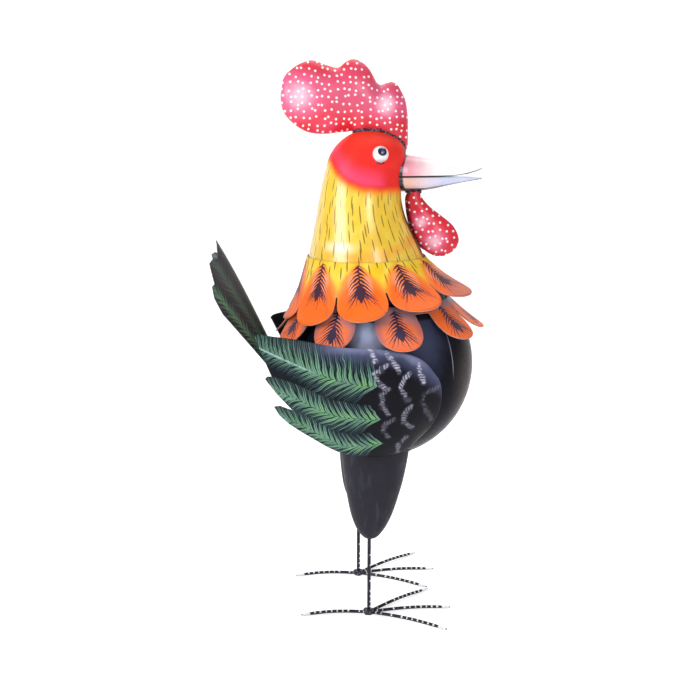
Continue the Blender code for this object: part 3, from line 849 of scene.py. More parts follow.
def eye_paint(name, side):
    """White ball with painted shade below, and pupil and glint, each a round patch about its own direction.
    """
    paint = Paint(name, tint(236, 238, 244), 0.16, coat=0.8)
    x, y, z = paint.place()

    def off_way(way):
        unit = way / np.linalg.norm(way)
        spot = EYE * (1, side, 1) + unit * (1, side, 1) * EYE_RADIUS
        parts = [(value - float(c)) for value, c in zip((x, y, z), spot)]
        total = parts[0] * parts[0] + parts[1] * parts[1] + parts[2] * parts[2]
        return total.power(0.5)

    pupil = off_way(PUPIL_WAY)
    # Painted shade: the lower part of the white is greyed.
    paint.coat((z - float(EYE[2])).ramp(-2, -8) * 0.45, tint(150, 160, 190))
    paint.coat(pupil.ramp(5.2, 4.7), tint(18, 22, 50))
    glint = off_way(GLINT_WAY)
    paint.coat(glint.ramp(2.3, 0.8) * 0.6, tint(120, 140, 180))
    return paint.finish()


def eye(name, side):
    """Ball eye, sunk halfway into the head."""
    return ball_skin(name, EYE_RADIUS, EYE * (1, side, 1), 32, 48, eye_paint(name + " paint", side))


for side_name, side in SIDES:
    finished(eye("eye_ball_" + side_name, side), "eye_white", "eye_" + side_name)

# %% [markdown]
# Two collars of petals are cut from sheet and welded round the neck. Each petal is
# sprayed orange and painted with a dark plume: a spine with barbs that leave it sideways
# and bend down, a ragged core, and rays that fan out below. All barbs belong to one
# family of curves, so one sum finds the barb that a point lies on. The UV map holds the
# distance from the petal's middle line and from the ring, in millimetres.

# %% Petal paint
PLUME_BARB_SPACING = 3.9
PLUME_RAY_TURN = 0.2
UPPER_PLUME = {"top": 3.0, "core": 33.0, "end": 57.0, "reach": 22.0}
LOWER_PLUME = {"top": 6.0, "core": 34.0, "end": 59.0, "reach": 19.0}


def plume(paint, across, down, top, core, end, reach):
    """Share of dark paint for a plume that hangs from a top, round a core, to an end."""
    side = across.size()
    right = across.ramp(-0.01, 0.01)
    sway = (paint.noise(7, 3) - 0.5) * 4.2
    root = down - top - side * 0.35 - side * side * 0.045 + sway
    barb = root / PLUME_BARB_SPACING + right * 0.5
    luck = paint.chance(barb.whole(), right * 3 + 7)
    share = root / (core - top)
    outward = side / ((share.ramp(-0.1, 0.75) * 0.72 + 0.28) * (luck * 0.7 + 0.5) * reach)
    width = outward.ramp(0.0, 1.1).flip() * 0.3 + 0.06
    barbs = ((barb.fraction() - 0.5).size() - width).ramp(0.07, -0.07) * outward.ramp(1.05, 0.9)
    barbs = barbs * root.ramp(-0.5, 0.5) * share.ramp(1.2, 1.0)
    below = down - (core - 6)
    far = (side * side + below * below).power(0.5)
    turn = side.math("ARCTAN2", below)
    ray = turn / PLUME_RAY_TURN + right * 0.5 + sway * 0.1
    ray_luck = paint.chance(ray.whole(), right * 7 + 5)
    outward = far / ((ray_luck * 0.35 + 0.72) * (end - core + 6))
    width = outward.ramp(0.05, 0.95).flip() * 0.38 + 0.05
    rays = ((ray.fraction() - 0.5).size() - width).ramp(0.08, -0.08) * outward.ramp(1.03, 0.9)
    rays = rays * below.ramp(-1, 3) * turn.ramp(1.0, 0.75)
    off_core = (down - core).size()
    blot = side - off_core.ramp(14, 0) * (reach * 0.25) + (paint.noise(2.5, 2) - 0.5) * 3.2
    blot = blot.ramp(0.6, -0.6) * off_core.ramp(12.5, 10.5)
    spine = (side - 0.75).ramp(0.35, -0.35) * down.ramp(top - 1, top + 1) * down.ramp(core + 4, core)
    return barbs.math("MAXIMUM", rays).math("MAXIMUM", blot).math("MAXIMUM", spine)


def upper_petal_paint():
    """Yellow at the ring, then an orange petal with a pink shoulder and a plume, browned by painted shade on
    the petals towards the beak.
    """
    paint = Paint("upper petal front", tint(242, 200, 40), 0.45, shine=0.25)
    across, down = paint.uv("petal")
    turn, height = paint.uv("neck")
    strokes = feather_yellow(paint, turn, height)
    paint.coat(strokes * 0.9, tint(92, 60, 14))
    widening = (down - 3).math("MAXIMUM", 0.0).power(0.72) * 2.35
    inside = widening - across.size() + (paint.noise(8) - 0.5) * 4
    paint.coat(inside.ramp(-5, 4), tint(255, 140, 50))
    paint.coat(inside.ramp(2, 10) * down.ramp(12, 34), tint(255, 108, 22))
    pink = down.ramp(8, 20) * down.ramp(44, 28) * (across.size() - 9).size().ramp(6, 1)
    paint.coat(pink * inside.ramp(0, 4) * 0.7, tint(252, 158, 128))
    x = paint.place()[0]
    # Painted shade: the petals towards the beak are dulled to brown.
    paint.coat(x.ramp(56, 74) * inside.ramp(-4, 6) * 0.75, tint(196, 116, 96))
    paint.coat(plume(paint, across, down, **UPPER_PLUME), tint(66, 36, 56))
    return paint.finish()


def lower_petal_paint():
    """Mauve-grey top and sides, salmon end, and a plume whose rays fan down."""
    paint = Paint("lower petal front", tint(182, 132, 138), 0.45, shine=0.25)
    across, down = paint.uv("petal")
    middle = down - across.size() * 0.5 - 15 + (paint.noise(9) - 0.5) * 8
    paint.coat(middle.ramp(-10, 8), tint(250, 124, 76))
    paint.coat(down.ramp(40, 56) * 0.7, tint(255, 104, 40))
    paint.coat((across.size() - 15).ramp(0, 7) * down.ramp(60, 44) * 0.6, tint(150, 112, 130))
    x = paint.place()[0]
    outer = x.ramp(24, 40).math("MAXIMUM", x.ramp(-84, -94))
    paint.coat(outer * down.ramp(4, 14) * 0.9, tint(255, 108, 24))
    paint.coat(plume(paint, across, down, **LOWER_PLUME), tint(60, 42, 68))
    return paint.finish()


def petal_back():
    """Back of a petal, dark brown and thinly sprayed."""
    paint = Paint("petal back", tint(52, 34, 34), 0.5)
    paint.coat(paint.noise(14).ramp(0.5, 0.8) * 0.6, tint(140, 74, 60))
    return paint.finish()


def petal_rim():
    """Cut edge of the sheet, a greyish pink line."""
    paint = Paint("petal rim", tint(196, 140, 124), 0.45)
    paint.coat(paint.noise(5).ramp(0.5, 0.7) * 0.6, tint(120, 84, 88))
    return paint.finish()


upper_front, lower_front = upper_petal_paint(), lower_petal_paint()
back_paint, rim_paint = petal_back(), petal_rim()
print("petal paints", upper_front.name, lower_front.name)

# %% [markdown]
# A collar is a skirt between a ring on the neck and the rounded ends of its petals.
# Where one petal stops and the next starts, the two corners of a face would belong to
# different petals, so each face takes both corners' UV from its own petal.

# %% Collars
SHEET = 1.2
SEAT_GAP = 0.7
PETALS = 10
PETAL_STEP = 2 * np.pi / PETALS
PETAL_ROUNDING = 0.6
UPPER_COLLAR = {
    "ring": 119,
    "tip": 69.5,
    "tilt": 0.16,
    "notch": 0.58,
    "width": 0.97,
    "flare": 0.3,
    "turn": math.radians(93),
    "offsets": (0,) * PETALS,
    "reaches": (89, 106, 107, 106, 107, 104, 107, 106, 107, 106),
}
LOWER_COLLAR = {
    "ring": 76,
    "tip": 38,
    "tilt": 0.05,
    "notch": 0.22,
    "width": 0.78,
    "flare": 0.1,
    "turn": math.radians(92.5) + PETAL_STEP / 2,
    "offsets": (0, 0, 0, 0, 0, 0, -1, 3, 7, 2),
    "reaches": (115, 115, 121, 113, 115, 115, 113, 121, 117, 115),
}


def collar_columns(form, steps):
    """Angle, petal and share of the petal's rounded end for each column of points."""
    columns = []
    for petal in range(PETALS):
        centre = form["turn"] + petal * PETAL_STEP + math.radians(form["offsets"][petal])
        for i in range(steps + 1):
            turn = np.pi * (i / steps - 0.5)
            angle = centre + PETAL_STEP / 2 * form["width"] * np.sin(turn)
            columns.append((petal, centre, angle, max(np.cos(turn), 0) ** PETAL_ROUNDING))
    return columns


def collar_rows(form, columns, row_count):
    """Grid of points for a collar, from its ring down to the petals' ends."""
    rows = np.zeros((row_count + 1, len(columns), 3))
    for c, (petal, _, angle, lobe) in enumerate(columns):
        reach = form["reaches"][petal]
        x = reach * np.sin(angle)
        tip = np.array((x, -reach * np.cos(angle), form["tip"] + form["tilt"] * x))
        base = neck_point(angle, form["ring"], SEAT_GAP + SHEET / 2)
        end = form["notch"] + (1 - form["notch"]) * lobe
        fall = end * even_shares(row_count)
        out = fall * (1 - form["flare"]) + form["flare"] * fall**5
        rows[:, c, :2] = base[:2] + (tip[:2] - base[:2]) * out[:, None]
        rows[:, c, 2] = base[2] + (tip[2] - base[2]) * fall
    return rows


def collar(name, form, front):
    """Skirt of petals round the neck, cut from one sheet."""
    columns = collar_columns(form, 22)
    rows = collar_rows(form, columns, 30)
    count = len(columns)
    steps = np.linalg.norm(np.diff(rows, axis=0), axis=2)
    down = np.vstack([np.zeros(count), np.cumsum(steps, axis=0)])
    radius = np.hypot(rows[..., 0], rows[..., 1])
    offsets = np.array([angle - centre for _, centre, angle, _ in columns])
    left = np.stack([radius * offsets, down], axis=-1)
    right = np.roll(left, -1, axis=1)
    for c in range(count):
        if columns[c][0] != columns[(c + 1) % count][0]:
            right[:, c] = left[:, c]
    turns = np.array([angle for _, _, angle, _ in columns]) / (2 * np.pi)
    heights = form["ring"] - down
    neck_left = np.stack([np.broadcast_to(turns, heights.shape), heights], axis=-1)
    neck_right = np.roll(neck_left, -1, axis=1)
    neck_right[:, -1, 0] += 1
    maps = {"petal": (left, right), "neck": (neck_left, neck_right)}
    return skin(name, rows, [front, back_paint, rim_paint], True, maps=maps, wall=SHEET)


finished(collar("upper_collar_skin", UPPER_COLLAR, upper_front), "petal_orange", "upper_feather_collar")
finished(collar("lower_collar_skin", LOWER_COLLAR, lower_front), "petal_orange", "lower_feather_collar")

# %% [markdown]
# Each wing is a domed sheet with three feather tips. Three painted spines run along it
# and carry green barbs that sweep out and back over a blue-black ground, with dark
# strokes between them. Where the barbs of two feathers meet they form a herringbone.
# The UV map gives each feather its own measure: how far it is along the spine from the
# front end of the painting, and how far out from the spine.

# %% Wing shape
WING_BOWL_CENTRE = np.array((-25, 0, 4))
WING_BOWL_SIZE = np.array((130, 116, 128))
WING_SEAT_GAP = 0.6
WING_GUIDES = (
    (0, ((50, 4), (30.5, 25.5), (-2, 37.5), (-50, 41.5), (-96.5, 46.5), (-127.5, 46))),
    (1 / 6, ((53.5, -6), (17.5, 2.5), (-22, 3), (-61.5, 11), (-99.5, 24.5), (-133.5, 37.5))),
    (1 / 2, ((54, -28), (18.5, -33.5), (-20, -32.5), (-61.5, -27), (-94.5, -11.5), (-118.5, -2.5))),
    (5 / 6, ((46, -52), (17.5, -59), (-14, -62.5), (-48, -63.5), (-83.5, -44.5), (-111.5, -32))),
    (1, ((34, -70), (18.5, -76.5), (-13.5, -80.5), (-49.5, -74), (-81.5, -56), (-102.5, -43.5))),
)
WING_REAR_EDGE = np.array((
    (0, -127.5, 46),
    (0.05, -133, 45),
    (0.09, -136, 42.5),
    (0.2, -129.5, 28),
    (1 / 3, -120, 6.5),
    (0.36, -124.5, 5.5),
    (0.39, -126.5, 2.5),
    (0.52, -115.5, -10.5),
    (2 / 3, -99, -27),
    (0.69, -112.5, -24),
    (0.72, -118, -26),
    (0.82, -113, -34.5),
    (1, -102.5, -43.5),
))
LEFT_WING_SHIFT = np.array((20, -4))
SPINES = (1 / 6, 1 / 2, 5 / 6)
PAINT_STARTS = (-15, -11, -7)
SPINE_SPACE = 400
SPINE_MARGIN = 100


def wing_outline(along, down):
    """Places on the wing seen from the side: rows run along it, columns down it."""
    knots = np.arange(6) / 5
    guides = []
    for _, guide in WING_GUIDES:
        guide = np.array(guide, float)
        guides.append([smooth_curve(knots, guide[:, i], along) for i in (0, 1)])
    guides = np.array(guides)
    downs = np.array([guide[0] for guide in WING_GUIDES])
    spots = np.zeros((len(along), len(down), 2))
    for r in range(len(along)):
        for i in (0, 1):
            spots[r, :, i] = smooth_curve(downs, guides[:, i, r], down)
    return spots


def wing_rows(along, down, shift=(0, 0)):
    """Grid of points on the right wing, its rear end shifted forward and up."""
    spots = wing_outline(along, down)
    edge = np.stack([np.interp(down, WING_REAR_EDGE[:, 0], WING_REAR_EDGE[:, i]) for i in (1, 2)], -1)
    to_edge = edge - wing_outline(np.array([1.0]), down)[0]
    spots = spots + to_edge[None] * along[:, None, None] ** 5
    spots = spots + np.asarray(shift) * along[:, None, None]
    x, z = spots[..., 0], spots[..., 1]
    across = (x - WING_BOWL_CENTRE[0]) / WING_BOWL_SIZE[0]
    up = (z - WING_BOWL_CENTRE[2]) / WING_BOWL_SIZE[2]
    depth = WING_BOWL_SIZE[1] * np.sqrt(np.maximum(1 - across**2 - up**2, 0.02))
    points = np.stack([x, -depth, z], axis=-1)
    seat = BALL_RADIUS + WING_SEAT_GAP + SHEET / 2
    closeness = np.maximum(1 - along / 0.3, 0) ** 2
    length = np.linalg.norm(points, axis=-1, keepdims=True)
    return points * (1 + (seat / length - 1) * closeness[:, None, None])


def feather_places(rows, spine_rows):
    """Distance along a spine and out from it, for every point of a grid."""
    steps = np.linalg.norm(np.diff(spine_rows, axis=0), axis=1)
    along = np.concatenate([[0], np.cumsum(steps)])
    way = np.gradient(spine_rows, axis=0)
    way /= np.linalg.norm(way, axis=1, keepdims=True)
    away = rows - spine_rows[:, None, :]
    ahead = (away * way[:, None, :]).sum(axis=2)
    beside = away - ahead[..., None] * way[:, None, :]
    out = np.linalg.norm(beside, axis=2) * np.sign(away[..., 2] + 1e-9)
    return along[:, None] + ahead, out


def wing_maps(rows, along, down):
    """Feather map whose faces each belong to one of the three feathers."""
    left = np.zeros(rows.shape[:2] + (2,))
    right = np.zeros_like(left)
    for number, spine in enumerate(SPINES):
        spine_rows = wing_rows(along, np.array([spine]))[:, 0]
        length, out = feather_places(rows, spine_rows)
        along_spine = length[:, np.argmin(np.abs(down - spine))]
        length -= np.interp(-PAINT_STARTS[number], -spine_rows[:, 0], along_spine)
        both = np.stack([length + number * SPINE_SPACE + SPINE_MARGIN, out], axis=-1)
        for c in range(len(down) - 1):
            middle = (down[c] + down[c + 1]) / 2
            if number / 3 <= middle < (number + 1) / 3:
                left[:, c] = both[:, c]
                right[:, c] = both[:, c + 1]
    return {"feather": (left, right)}


print("wing bowl", WING_BOWL_SIZE)

# %% [markdown]
# On the wing's shoulder the painter dabbed small fans of pale strokes that make rough
# scales. Each is a path of places seen from the side, the strongest first. A second UV
# map holds the distance from the nearest path, and the distance along it, which splits
# it into short dabs.

# %% Dabs on the shoulder
SHOULDER_DABS = (
    ((-23.7, 39.2), (-20.9, 33.4), (-18.9, 28.4)),
    ((-3.7, 30.7), (1.4, 23.5), (5.5, 17.2)),
    ((26.5, 22.3), (27.9, 12.9), (32.3, 2.5)),
    ((16.4, 13.0), (10.7, 7.6), (6.7, 0.1)),
    ((-20.8, 15.5), (-14.0, 18.4), (-7.2, 24.0)),
    ((-17.7, 11.1), (-14.1, 5.3), (-8.2, 0.1)),
    ((-8.6, 36.7), (-5.7, 32.7)),
    ((9.0, -2.3), (12.1, -9.3), (15.9, -14.0)),
    ((19.5, -21.3), (11.0, -28.3), (12.7, -38.0), (21.3, -46.7)),
    ((-6.1, -1.1), (-12.4, -7.2), (-11.0, -17.2), (-4.2, -27.9)),
    ((16.7, -57.7), (8.5, -65.9), (9.8, -76.3)),
    ((1.5, -34.3), (-8.0, -39.4), (-8.7, -45.5), (-3.8, -53.5)),
    ((49.0, -5.2), (33.8, -9.7), (31.9, -17.3), (36.1, -28.6), (43.8, -41.3)),
)
DAB_SPACE = 100


def dab_map(rows):
    """UV map with the distance from the nearest path of dabs and the place along it."""
    spots = rows[..., (0, 2)]
    nearest = np.full(spots.shape[:2], 1e3)
    place = np.zeros(spots.shape[:2])
    for number, path in enumerate(SHOULDER_DABS):
        passed = 10.0
        for start, stop in zip(np.array(path[:-1]), np.array(path[1:])):
            length = np.linalg.norm(stop - start)
            way = (stop - start) / length
            away = spots - start
            ahead = np.clip(away @ way, 0, length)
            off = np.linalg.norm(away - ahead[..., None] * way, axis=-1)
            side = away[..., 1] * way[0] - away[..., 0] * way[1]
            closer = off < nearest
            place[closer] = (number * DAB_SPACE + passed + ahead - side * 0.5)[closer]
            nearest = np.minimum(nearest, off)
            passed += length
    left = np.stack([nearest, place], axis=-1)
    return left, np.roll(left, -1, axis=1)


print(len(SHOULDER_DABS), "paths of dabs")

# %% [markdown]
# The barbs of a feather start side by side at its spine and curve back as they go out.
# Bold clumps with dark wedges between them carry fine bright lines, as a fan brush
# leaves them. The colour runs from fresh green at the spine to a cool grey-green.

# %% Wing paint
CLUMP_SPACING = 6.4
FINE_SPACING = 2.3
DAB_SPACING = 3.1
BARB_LENGTH = 20
FIRST_FEATHER_EXTRA = 9


def barbs(paint, root, side, upper, step, length, seed):
    """Shares of paint for barbs that taper outwards from a spine, their ridge, reach and luck."""
    barb = root / step + upper * 0.5
    number = barb.whole()
    luck = paint.chance(number, upper * 3 + seed)
    second_luck = paint.chance(number + 91, upper * 3 + seed)
    off = (barb.fraction() - 0.5 + (second_luck - 0.5) * 0.24).size()
    reach = side / length / (luck * 0.6 + 0.65)
    width = reach.ramp(-0.25, 1.1).flip() * 0.42 + 0.06
    fill = (off - width).ramp(0.06, -0.06) * reach.ramp(1.12, 0.92)
    return fill, off.ramp(0.22, 0.0), reach, luck


def barb_root(paint, along, side, lean):
    """How far along the spine the barb through a point starts."""
    sway = (paint.noise(16, 2) - 0.5) * 6.0 + (paint.noise(4, 2) - 0.5) * 0.9
    return along - (side + 0.2).power(0.7) * lean * 2.25 + sway


def green_barbs(paint, along, out, feather, front):
    """Coats of green barbs, brighter at the spine and cooler at their ends."""
    side = out.size()
    upper = out.ramp(-0.01, 0.01)
    first = feather.whole().ramp(0.5, 0.4)
    lean = upper * (first * along.ramp(95, 30) * -0.4 + 0.85) + upper.flip() * 1.15
    longer = upper * first * FIRST_FEATHER_EXTRA
    shorter = upper.flip() * first * along.ramp(55, 95) * FIRST_FEATHER_EXTRA
    length = longer + BARB_LENGTH - shorter
    root = barb_root(paint, along, side, lean)
    started = root.ramp(-0.6, 0.6)
    clump, _, clump_reach, clump_luck = barbs(paint, root, side, upper, CLUMP_SPACING, length, 5.0)
    fine, ridge, reach, luck = barbs(paint, root, side, upper, FINE_SPACING, length * 1.1, 29.0)
    warm = paint.blend(front, tint(72, 106, 96), tint(118, 174, 118))
    warm = paint.blend(paint.noise(14, 2).ramp(0.4, 0.62), warm, tint(104, 146, 124))
    cool = paint.blend(front, tint(46, 64, 74), tint(84, 108, 118))
    colour = paint.blend((clump_reach + (luck - 0.5) * 0.35).ramp(0.05, 0.85), warm, cool)
    paint.coat(side.ramp(26, 12) * started * 0.75, tint(14, 24, 30))
    paint.coat(fine * started * reach.ramp(0.2, 0.6) * 0.5, tint(80, 108, 108))
    paint.coat(clump * (fine * 0.72 + 0.28) * (clump_luck * 0.25 + 0.75) * started, colour)
    paint.coat(ridge * clump * fine * started * (luck * 0.4 + 0.05), tint(158, 204, 168))
    nick = (along / 5.2 + paint.noise(7)).fraction()
    paint.coat(side.ramp(1.1, 0.4) * nick.ramp(0.62, 0.7) * started * 0.7, tint(16, 40, 30))
    light = (side + paint.noise(5, 2) * 2.4 - 0.8).ramp(1.9, 0.2) * first * along.ramp(56, 86)
    paint.coat(light * 0.7, tint(166, 204, 196))


def wing_paint():
    """Blue-black ground with a painted sheen along the top edge, green feathers behind and pale dabs on the
    shoulder.
    """
    paint = Paint("wing front", tint(18, 18, 25), 0.38, shine=0.07)
    x, _, z = paint.place()
    along, out = paint.uv("feather")
    feather = along / SPINE_SPACE
    length = feather.fraction() * SPINE_SPACE - SPINE_MARGIN
    depth = (x + 20).math("MAXIMUM", 0.0).power(2) * -0.0075 + 41.5 - z
    depth = depth + (paint.noise(24, 2) - 0.5) * 12
    # Painted sheen: blue-grey along the top edge of the wing.
    paint.coat(depth.ramp(24, -2) * x.ramp(-100, -40) * 0.75, tint(96, 101, 138))
    green_barbs(paint, length, out, feather, x.ramp(-128, -40))
    # Painted highlight: paler violet right at the top edge, over the barbs' ends.
    paint.coat(depth.ramp(9, -1) * x.ramp(-80, -35) * x.ramp(42, 22) * 0.6, tint(150, 155, 190))
    distance, place = paint.uv("dabs")
    strength = (place / DAB_SPACE) * -0.055 + 1.0
    smear = (distance + (paint.noise(6, 2) - 0.5) * 8).ramp(4.5, 1.0)
    paint.coat(smear * strength * 0.4, tint(112, 112, 134))
    dab = (place + (paint.noise(5, 2) - 0.5) * 3) / DAB_SPACING
    luck = paint.chance(dab.whole(), 3.0)
    mark = ((dab.fraction() - 0.5).size() - luck * 0.14).ramp(0.34, 0.16) * luck.ramp(0.1, 0.2)
    band = (distance + luck * 1.6 + (paint.noise(6, 2) - 0.5) * 5).ramp(4.0, 2.2)
    paint.coat(mark * band * (luck * 0.5 + 0.5) * strength * strength, tint(208, 207, 228))
    return paint.finish()


def wing_back():
    """Back of the wing, plain blue-black."""
    paint = Paint("wing back", tint(26, 28, 34), 0.4)
    paint.coat(paint.noise(16).ramp(0.5, 0.8) * 0.4, tint(60, 66, 72))
    return paint.finish()


def dark_rim():
    """Dark cut edge of the sheet."""
    paint = Paint("dark rim", tint(40, 44, 48), 0.35)
    paint.coat(paint.noise(5).ramp(0.55, 0.75) * 0.5, tint(110, 116, 116))
    return paint.finish()


dark_back, dark_edge, wing_front = wing_back(), dark_rim(), wing_paint()
print("wing paint has", len(wing_front.node_tree.nodes), "nodes")

# %% [markdown]
# The left wing is the right one seen in a mirror, so its grid is the same with the
# sign of y changed. It was bent by hand and ends a little further forward and lower.

# %% Wings
def wing(name, side):
    """Domed wing with three feather tips."""
    along = even_shares(120)
    down = np.unique(np.concatenate([np.linspace(0, 1, 91), WING_REAR_EDGE[:, 0]]).round(6))
    maps = wing_maps(wing_rows(along, down), along, down)
    maps["dabs"] = dab_map(wing_rows(along, down))
    rows = wing_rows(along, down, LEFT_WING_SHIFT if side > 0 else (0, 0)) * (1, -side, 1)
    return skin(name, rows, [wing_front, dark_back, dark_edge], maps=maps, wall=SHEET)


for side_name, side in SIDES:
    finished(wing("wing_skin_" + side_name, side), "wing_green", "wing_" + side_name)

# %% [markdown]
# The tail is a fan of feathers cut from one sheet and folded along its middle. Its
# barbs leave one spine for each feather.

# %% Tail
CLEARANCE = 0.3
TAIL_ORIGIN = -47
TAIL_FOOT = -5
TAIL_LEAN = 0.45
TAIL_CURL = 5
TAIL_SWEEP = 0.5
TAIL_ROUNDING = 4
TAIL_LOBES = np.array((
    (0, 184),
    (2.5, 178),
    (6.5, 168),
    (9, 170.5),
    (13, 169),
    (18.5, 153),
    (21, 153.5),
    (25, 146),
    (28, 131),
))
TAIL_SPINES = (0.0, 10.5, 22.0)
TAIL_CLUMP_SPACING = 5.6
TAIL_FINE_SPACING = 2.2
TAIL_BARB_LENGTH = 16.0


def tail_point(angle, distance):
    """Points on the folded fan, at a distance from where its feathers meet."""
    y = distance * np.sin(angle)
    height = TAIL_ORIGIN + distance * np.cos(angle)
    climb = height - TAIL_FOOT
    longest = TAIL_ORIGIN - TAIL_FOOT + TAIL_LOBES[0, 1]
    swept = TAIL_SWEEP * (np.hypot(y, TAIL_ROUNDING) - TAIL_ROUNDING)
    lean = TAIL_LEAN * climb + TAIL_CURL * (climb / longest) ** 4
    foot = BALL_RADIUS + CLEARANCE + SHEET
    foot_x = -math.sqrt(foot**2 - TAIL_FOOT**2)
    return np.stack([foot_x - lean - swept, y, height], axis=-1)


def tail_paint():
    """Dark green-grey with a paler ridge and green barbs."""
    paint = Paint("tail front", tint(24, 34, 46), 0.42, shine=0.1)
    along, out = paint.uv("feather")
    length = (along / SPINE_SPACE).fraction() * SPINE_SPACE
    side = out.size()
    upper = out.ramp(-0.01, 0.01)
    root = barb_root(paint, length * -1 + SPINE_SPACE, side, -0.9)
    place = (paint, root, side, upper)
    clump, _, clump_reach, clump_luck = barbs(*place, TAIL_CLUMP_SPACING, TAIL_BARB_LENGTH, 17.0)
    fine, ridge, _, luck = barbs(*place, TAIL_FINE_SPACING, TAIL_BARB_LENGTH + 1, 41.0)
    colour = paint.blend(clump_reach.ramp(0.05, 0.8), tint(94, 142, 112), tint(62, 88, 92))
    outer = (along / SPINE_SPACE).ramp(1.98, 2.0)
    paint.coat(length.ramp(118, 145) * outer.flip() * 0.6, tint(66, 50, 62))
    paint.coat(fine * 0.4, tint(62, 82, 78))
    paint.coat(clump * (fine * 0.7 + 0.3) * (clump_luck * 0.3 + 0.6) * (outer * 0.6 + 0.4), colour)
    paint.coat(ridge * fine * clump * 0.35 * luck * outer, tint(150, 180, 140))
    edge = paint.place()[1].size()
    paint.coat(edge.ramp(5.5, 4.0) * 0.75, tint(112, 128, 108))
    paint.coat((edge - 5.2).size().ramp(0.9, 0.3) * 0.8, tint(24, 30, 30))
    return paint.finish()


def tail():
    """Fan of feathers folded along its middle."""
    half = np.linspace(0, TAIL_LOBES[-1, 0], 57)
    angles = np.concatenate([-half[:0:-1], half])
    lengths = np.interp(np.abs(angles), TAIL_LOBES[:, 0], TAIL_LOBES[:, 1])
    turned = np.radians(angles)
    start = (TAIL_FOOT - TAIL_ORIGIN) / np.cos(turned)
    distance = start + (lengths - start) * even_shares(80)[:, None]
    rows = tail_point(turned[None, :], distance)
    nearest = np.argmin(np.abs(np.abs(angles)[:, None] - np.array(TAIL_SPINES)), axis=1)
    left = np.zeros(rows.shape[:2] + (2,))
    right = np.zeros_like(left)
    for c in range(len(angles) - 1):
        number = nearest[c] if abs(angles[c]) < abs(angles[c + 1]) else nearest[c + 1]
        for grid, column in ((left, c), (right, c + 1)):
            off = np.radians(abs(angles[column]) - TAIL_SPINES[number])
            grid[:, c, 0] = distance[:, column] * np.cos(off) + number * SPINE_SPACE
            grid[:, c, 1] = distance[:, column] * np.sin(off)
    maps = {"feather": (left, right)}
    green = tail_paint()
    return skin("tail_skin", rows, [green, green, dark_edge], maps=maps, wall=SHEET)


finished(tail(), "tail_green", "tail")

# %% [markdown]
# Thighs are cones of sheet in satin charcoal. Their tops follow the ball, and the tip
# closes over the leg rod. The left one leans a little further forward towards its top.

# %% Thighs
THIGH_TIP = (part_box("thigh_right")[0][2] - BALL.z) / MM
THIGH_TOP = -72
rod_low, rod_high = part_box("leg_rod_right")
LEG_X = ((rod_low[0] + rod_high[0]) / 2 - BALL.x) / MM
LEG_Y = abs((rod_low[1] + rod_high[1]) / 2 - BALL.y) / MM
FLOOR = -BALL.z / MM
THIGH_STATIONS = np.array((
    (0, -3.2, 3.8, 0, 3.5),
    (0.015, -6.5, 8.5, 0, 7.5),
    (0.058, -11, 13.5, 0.3, 11.5),
    (0.128, -15.5, 19, 0.8, 15.5),
    (0.241, -20, 25.5, 1.8, 19),
    (0.39, -23.5, 31.5, 3.3, 22),
    (0.564, -26.5, 37.5, 5.3, 24.5),
    (0.765, -29, 42.5, 7.3, 26),
    (1, -30.5, 46.5, 8.8, 26.5),
))
LEFT_THIGH_SHIFT = 6.5


def charcoal_paint():
    """Satin charcoal with rubbed vertical marks."""
    paint = Paint("thigh charcoal", tint(36, 35, 44), 0.5, shine=0.15)
    rubbed = paint.noise(7, 4, (1, 1, 0.25)).ramp(0.5, 0.75)
    paint.coat(rubbed * 0.35, tint(70, 71, 88))
    paint.coat(paint.noise(1.6, 2).ramp(0.66, 0.8) * 0.3, tint(108, 110, 124))
    return paint.finish()


def thigh(name, side, charcoal):
    """Tapered thigh whose top ends on the ball."""
    shares = np.concatenate([[0, 0.004, 0.009], np.linspace(0.015, 1, 60)])
    columns = [smooth_curve(THIGH_STATIONS[:, 0], THIGH_STATIONS[:, i], shares) for i in range(1, 5)]
    rear, front, lean, half_width = (column[:, None] for column in columns)
    turns = turns_round(64)
    height = THIGH_TIP + shares * (THIGH_TOP - THIGH_TIP)
    rows = np.zeros((len(shares), len(turns), 3))
    middle = LEG_X + (rear + front) / 2
    if side > 0:
        middle = middle + LEFT_THIGH_SHIFT * shares[:, None]
    rows[..., 0] = middle + (front - rear) / 2 * np.cos(turns)
    rows[..., 1] = side * (LEG_Y - lean) + half_width * np.sin(turns)
    rows[..., 2] = height[:, None]
    clear = BALL_RADIUS + CLEARANCE
    ceiling = -np.sqrt(np.maximum(clear**2 - rows[..., 0] ** 2 - rows[..., 1] ** 2, 0))
    rows[..., 2] = np.minimum(rows[..., 2], np.where(ceiling < 0, ceiling, rows[..., 2]))
    first = rows[0].mean(axis=0)
    last = rows[-1].mean(axis=0)
    last[2] = -math.sqrt(clear**2 - last[0] ** 2 - last[1] ** 2)
    return skin(name, rows, [charcoal], True, first, last)


charcoal = charcoal_paint()
for side_name, side in SIDES:
    finished(thigh("thigh_skin_" + side_name, side, charcoal), "thigh_charcoal", "thigh_" + side_name)

# %% [markdown]
# Legs and toes are round wire, painted black, with white nicks dabbed across them. Each
# toe ends in a white claw. The UV map holds the distance along the wire, so the nicks
# stay square to it.

# %% Legs and toes
ROD_RADIUS = 2.0
TOE_RADIUS = 1.75
TOE_ARCH = 2.2
TOE_SPREAD = math.radians(32)
ANKLE_RADIUS = 6.5
ANKLE_HEIGHT = 5.0
CLAW = 10.0
NICK_SPACING = 6.2
WIRE_SIDES = 20
TOES = (
    ("inner_toe_", -TOE_SPREAD, 89.5),
    ("middle_toe_", 0.0, 93),
    ("outer_toe_", TOE_SPREAD, 93),
    ("back_toe_", math.pi, 76),
)


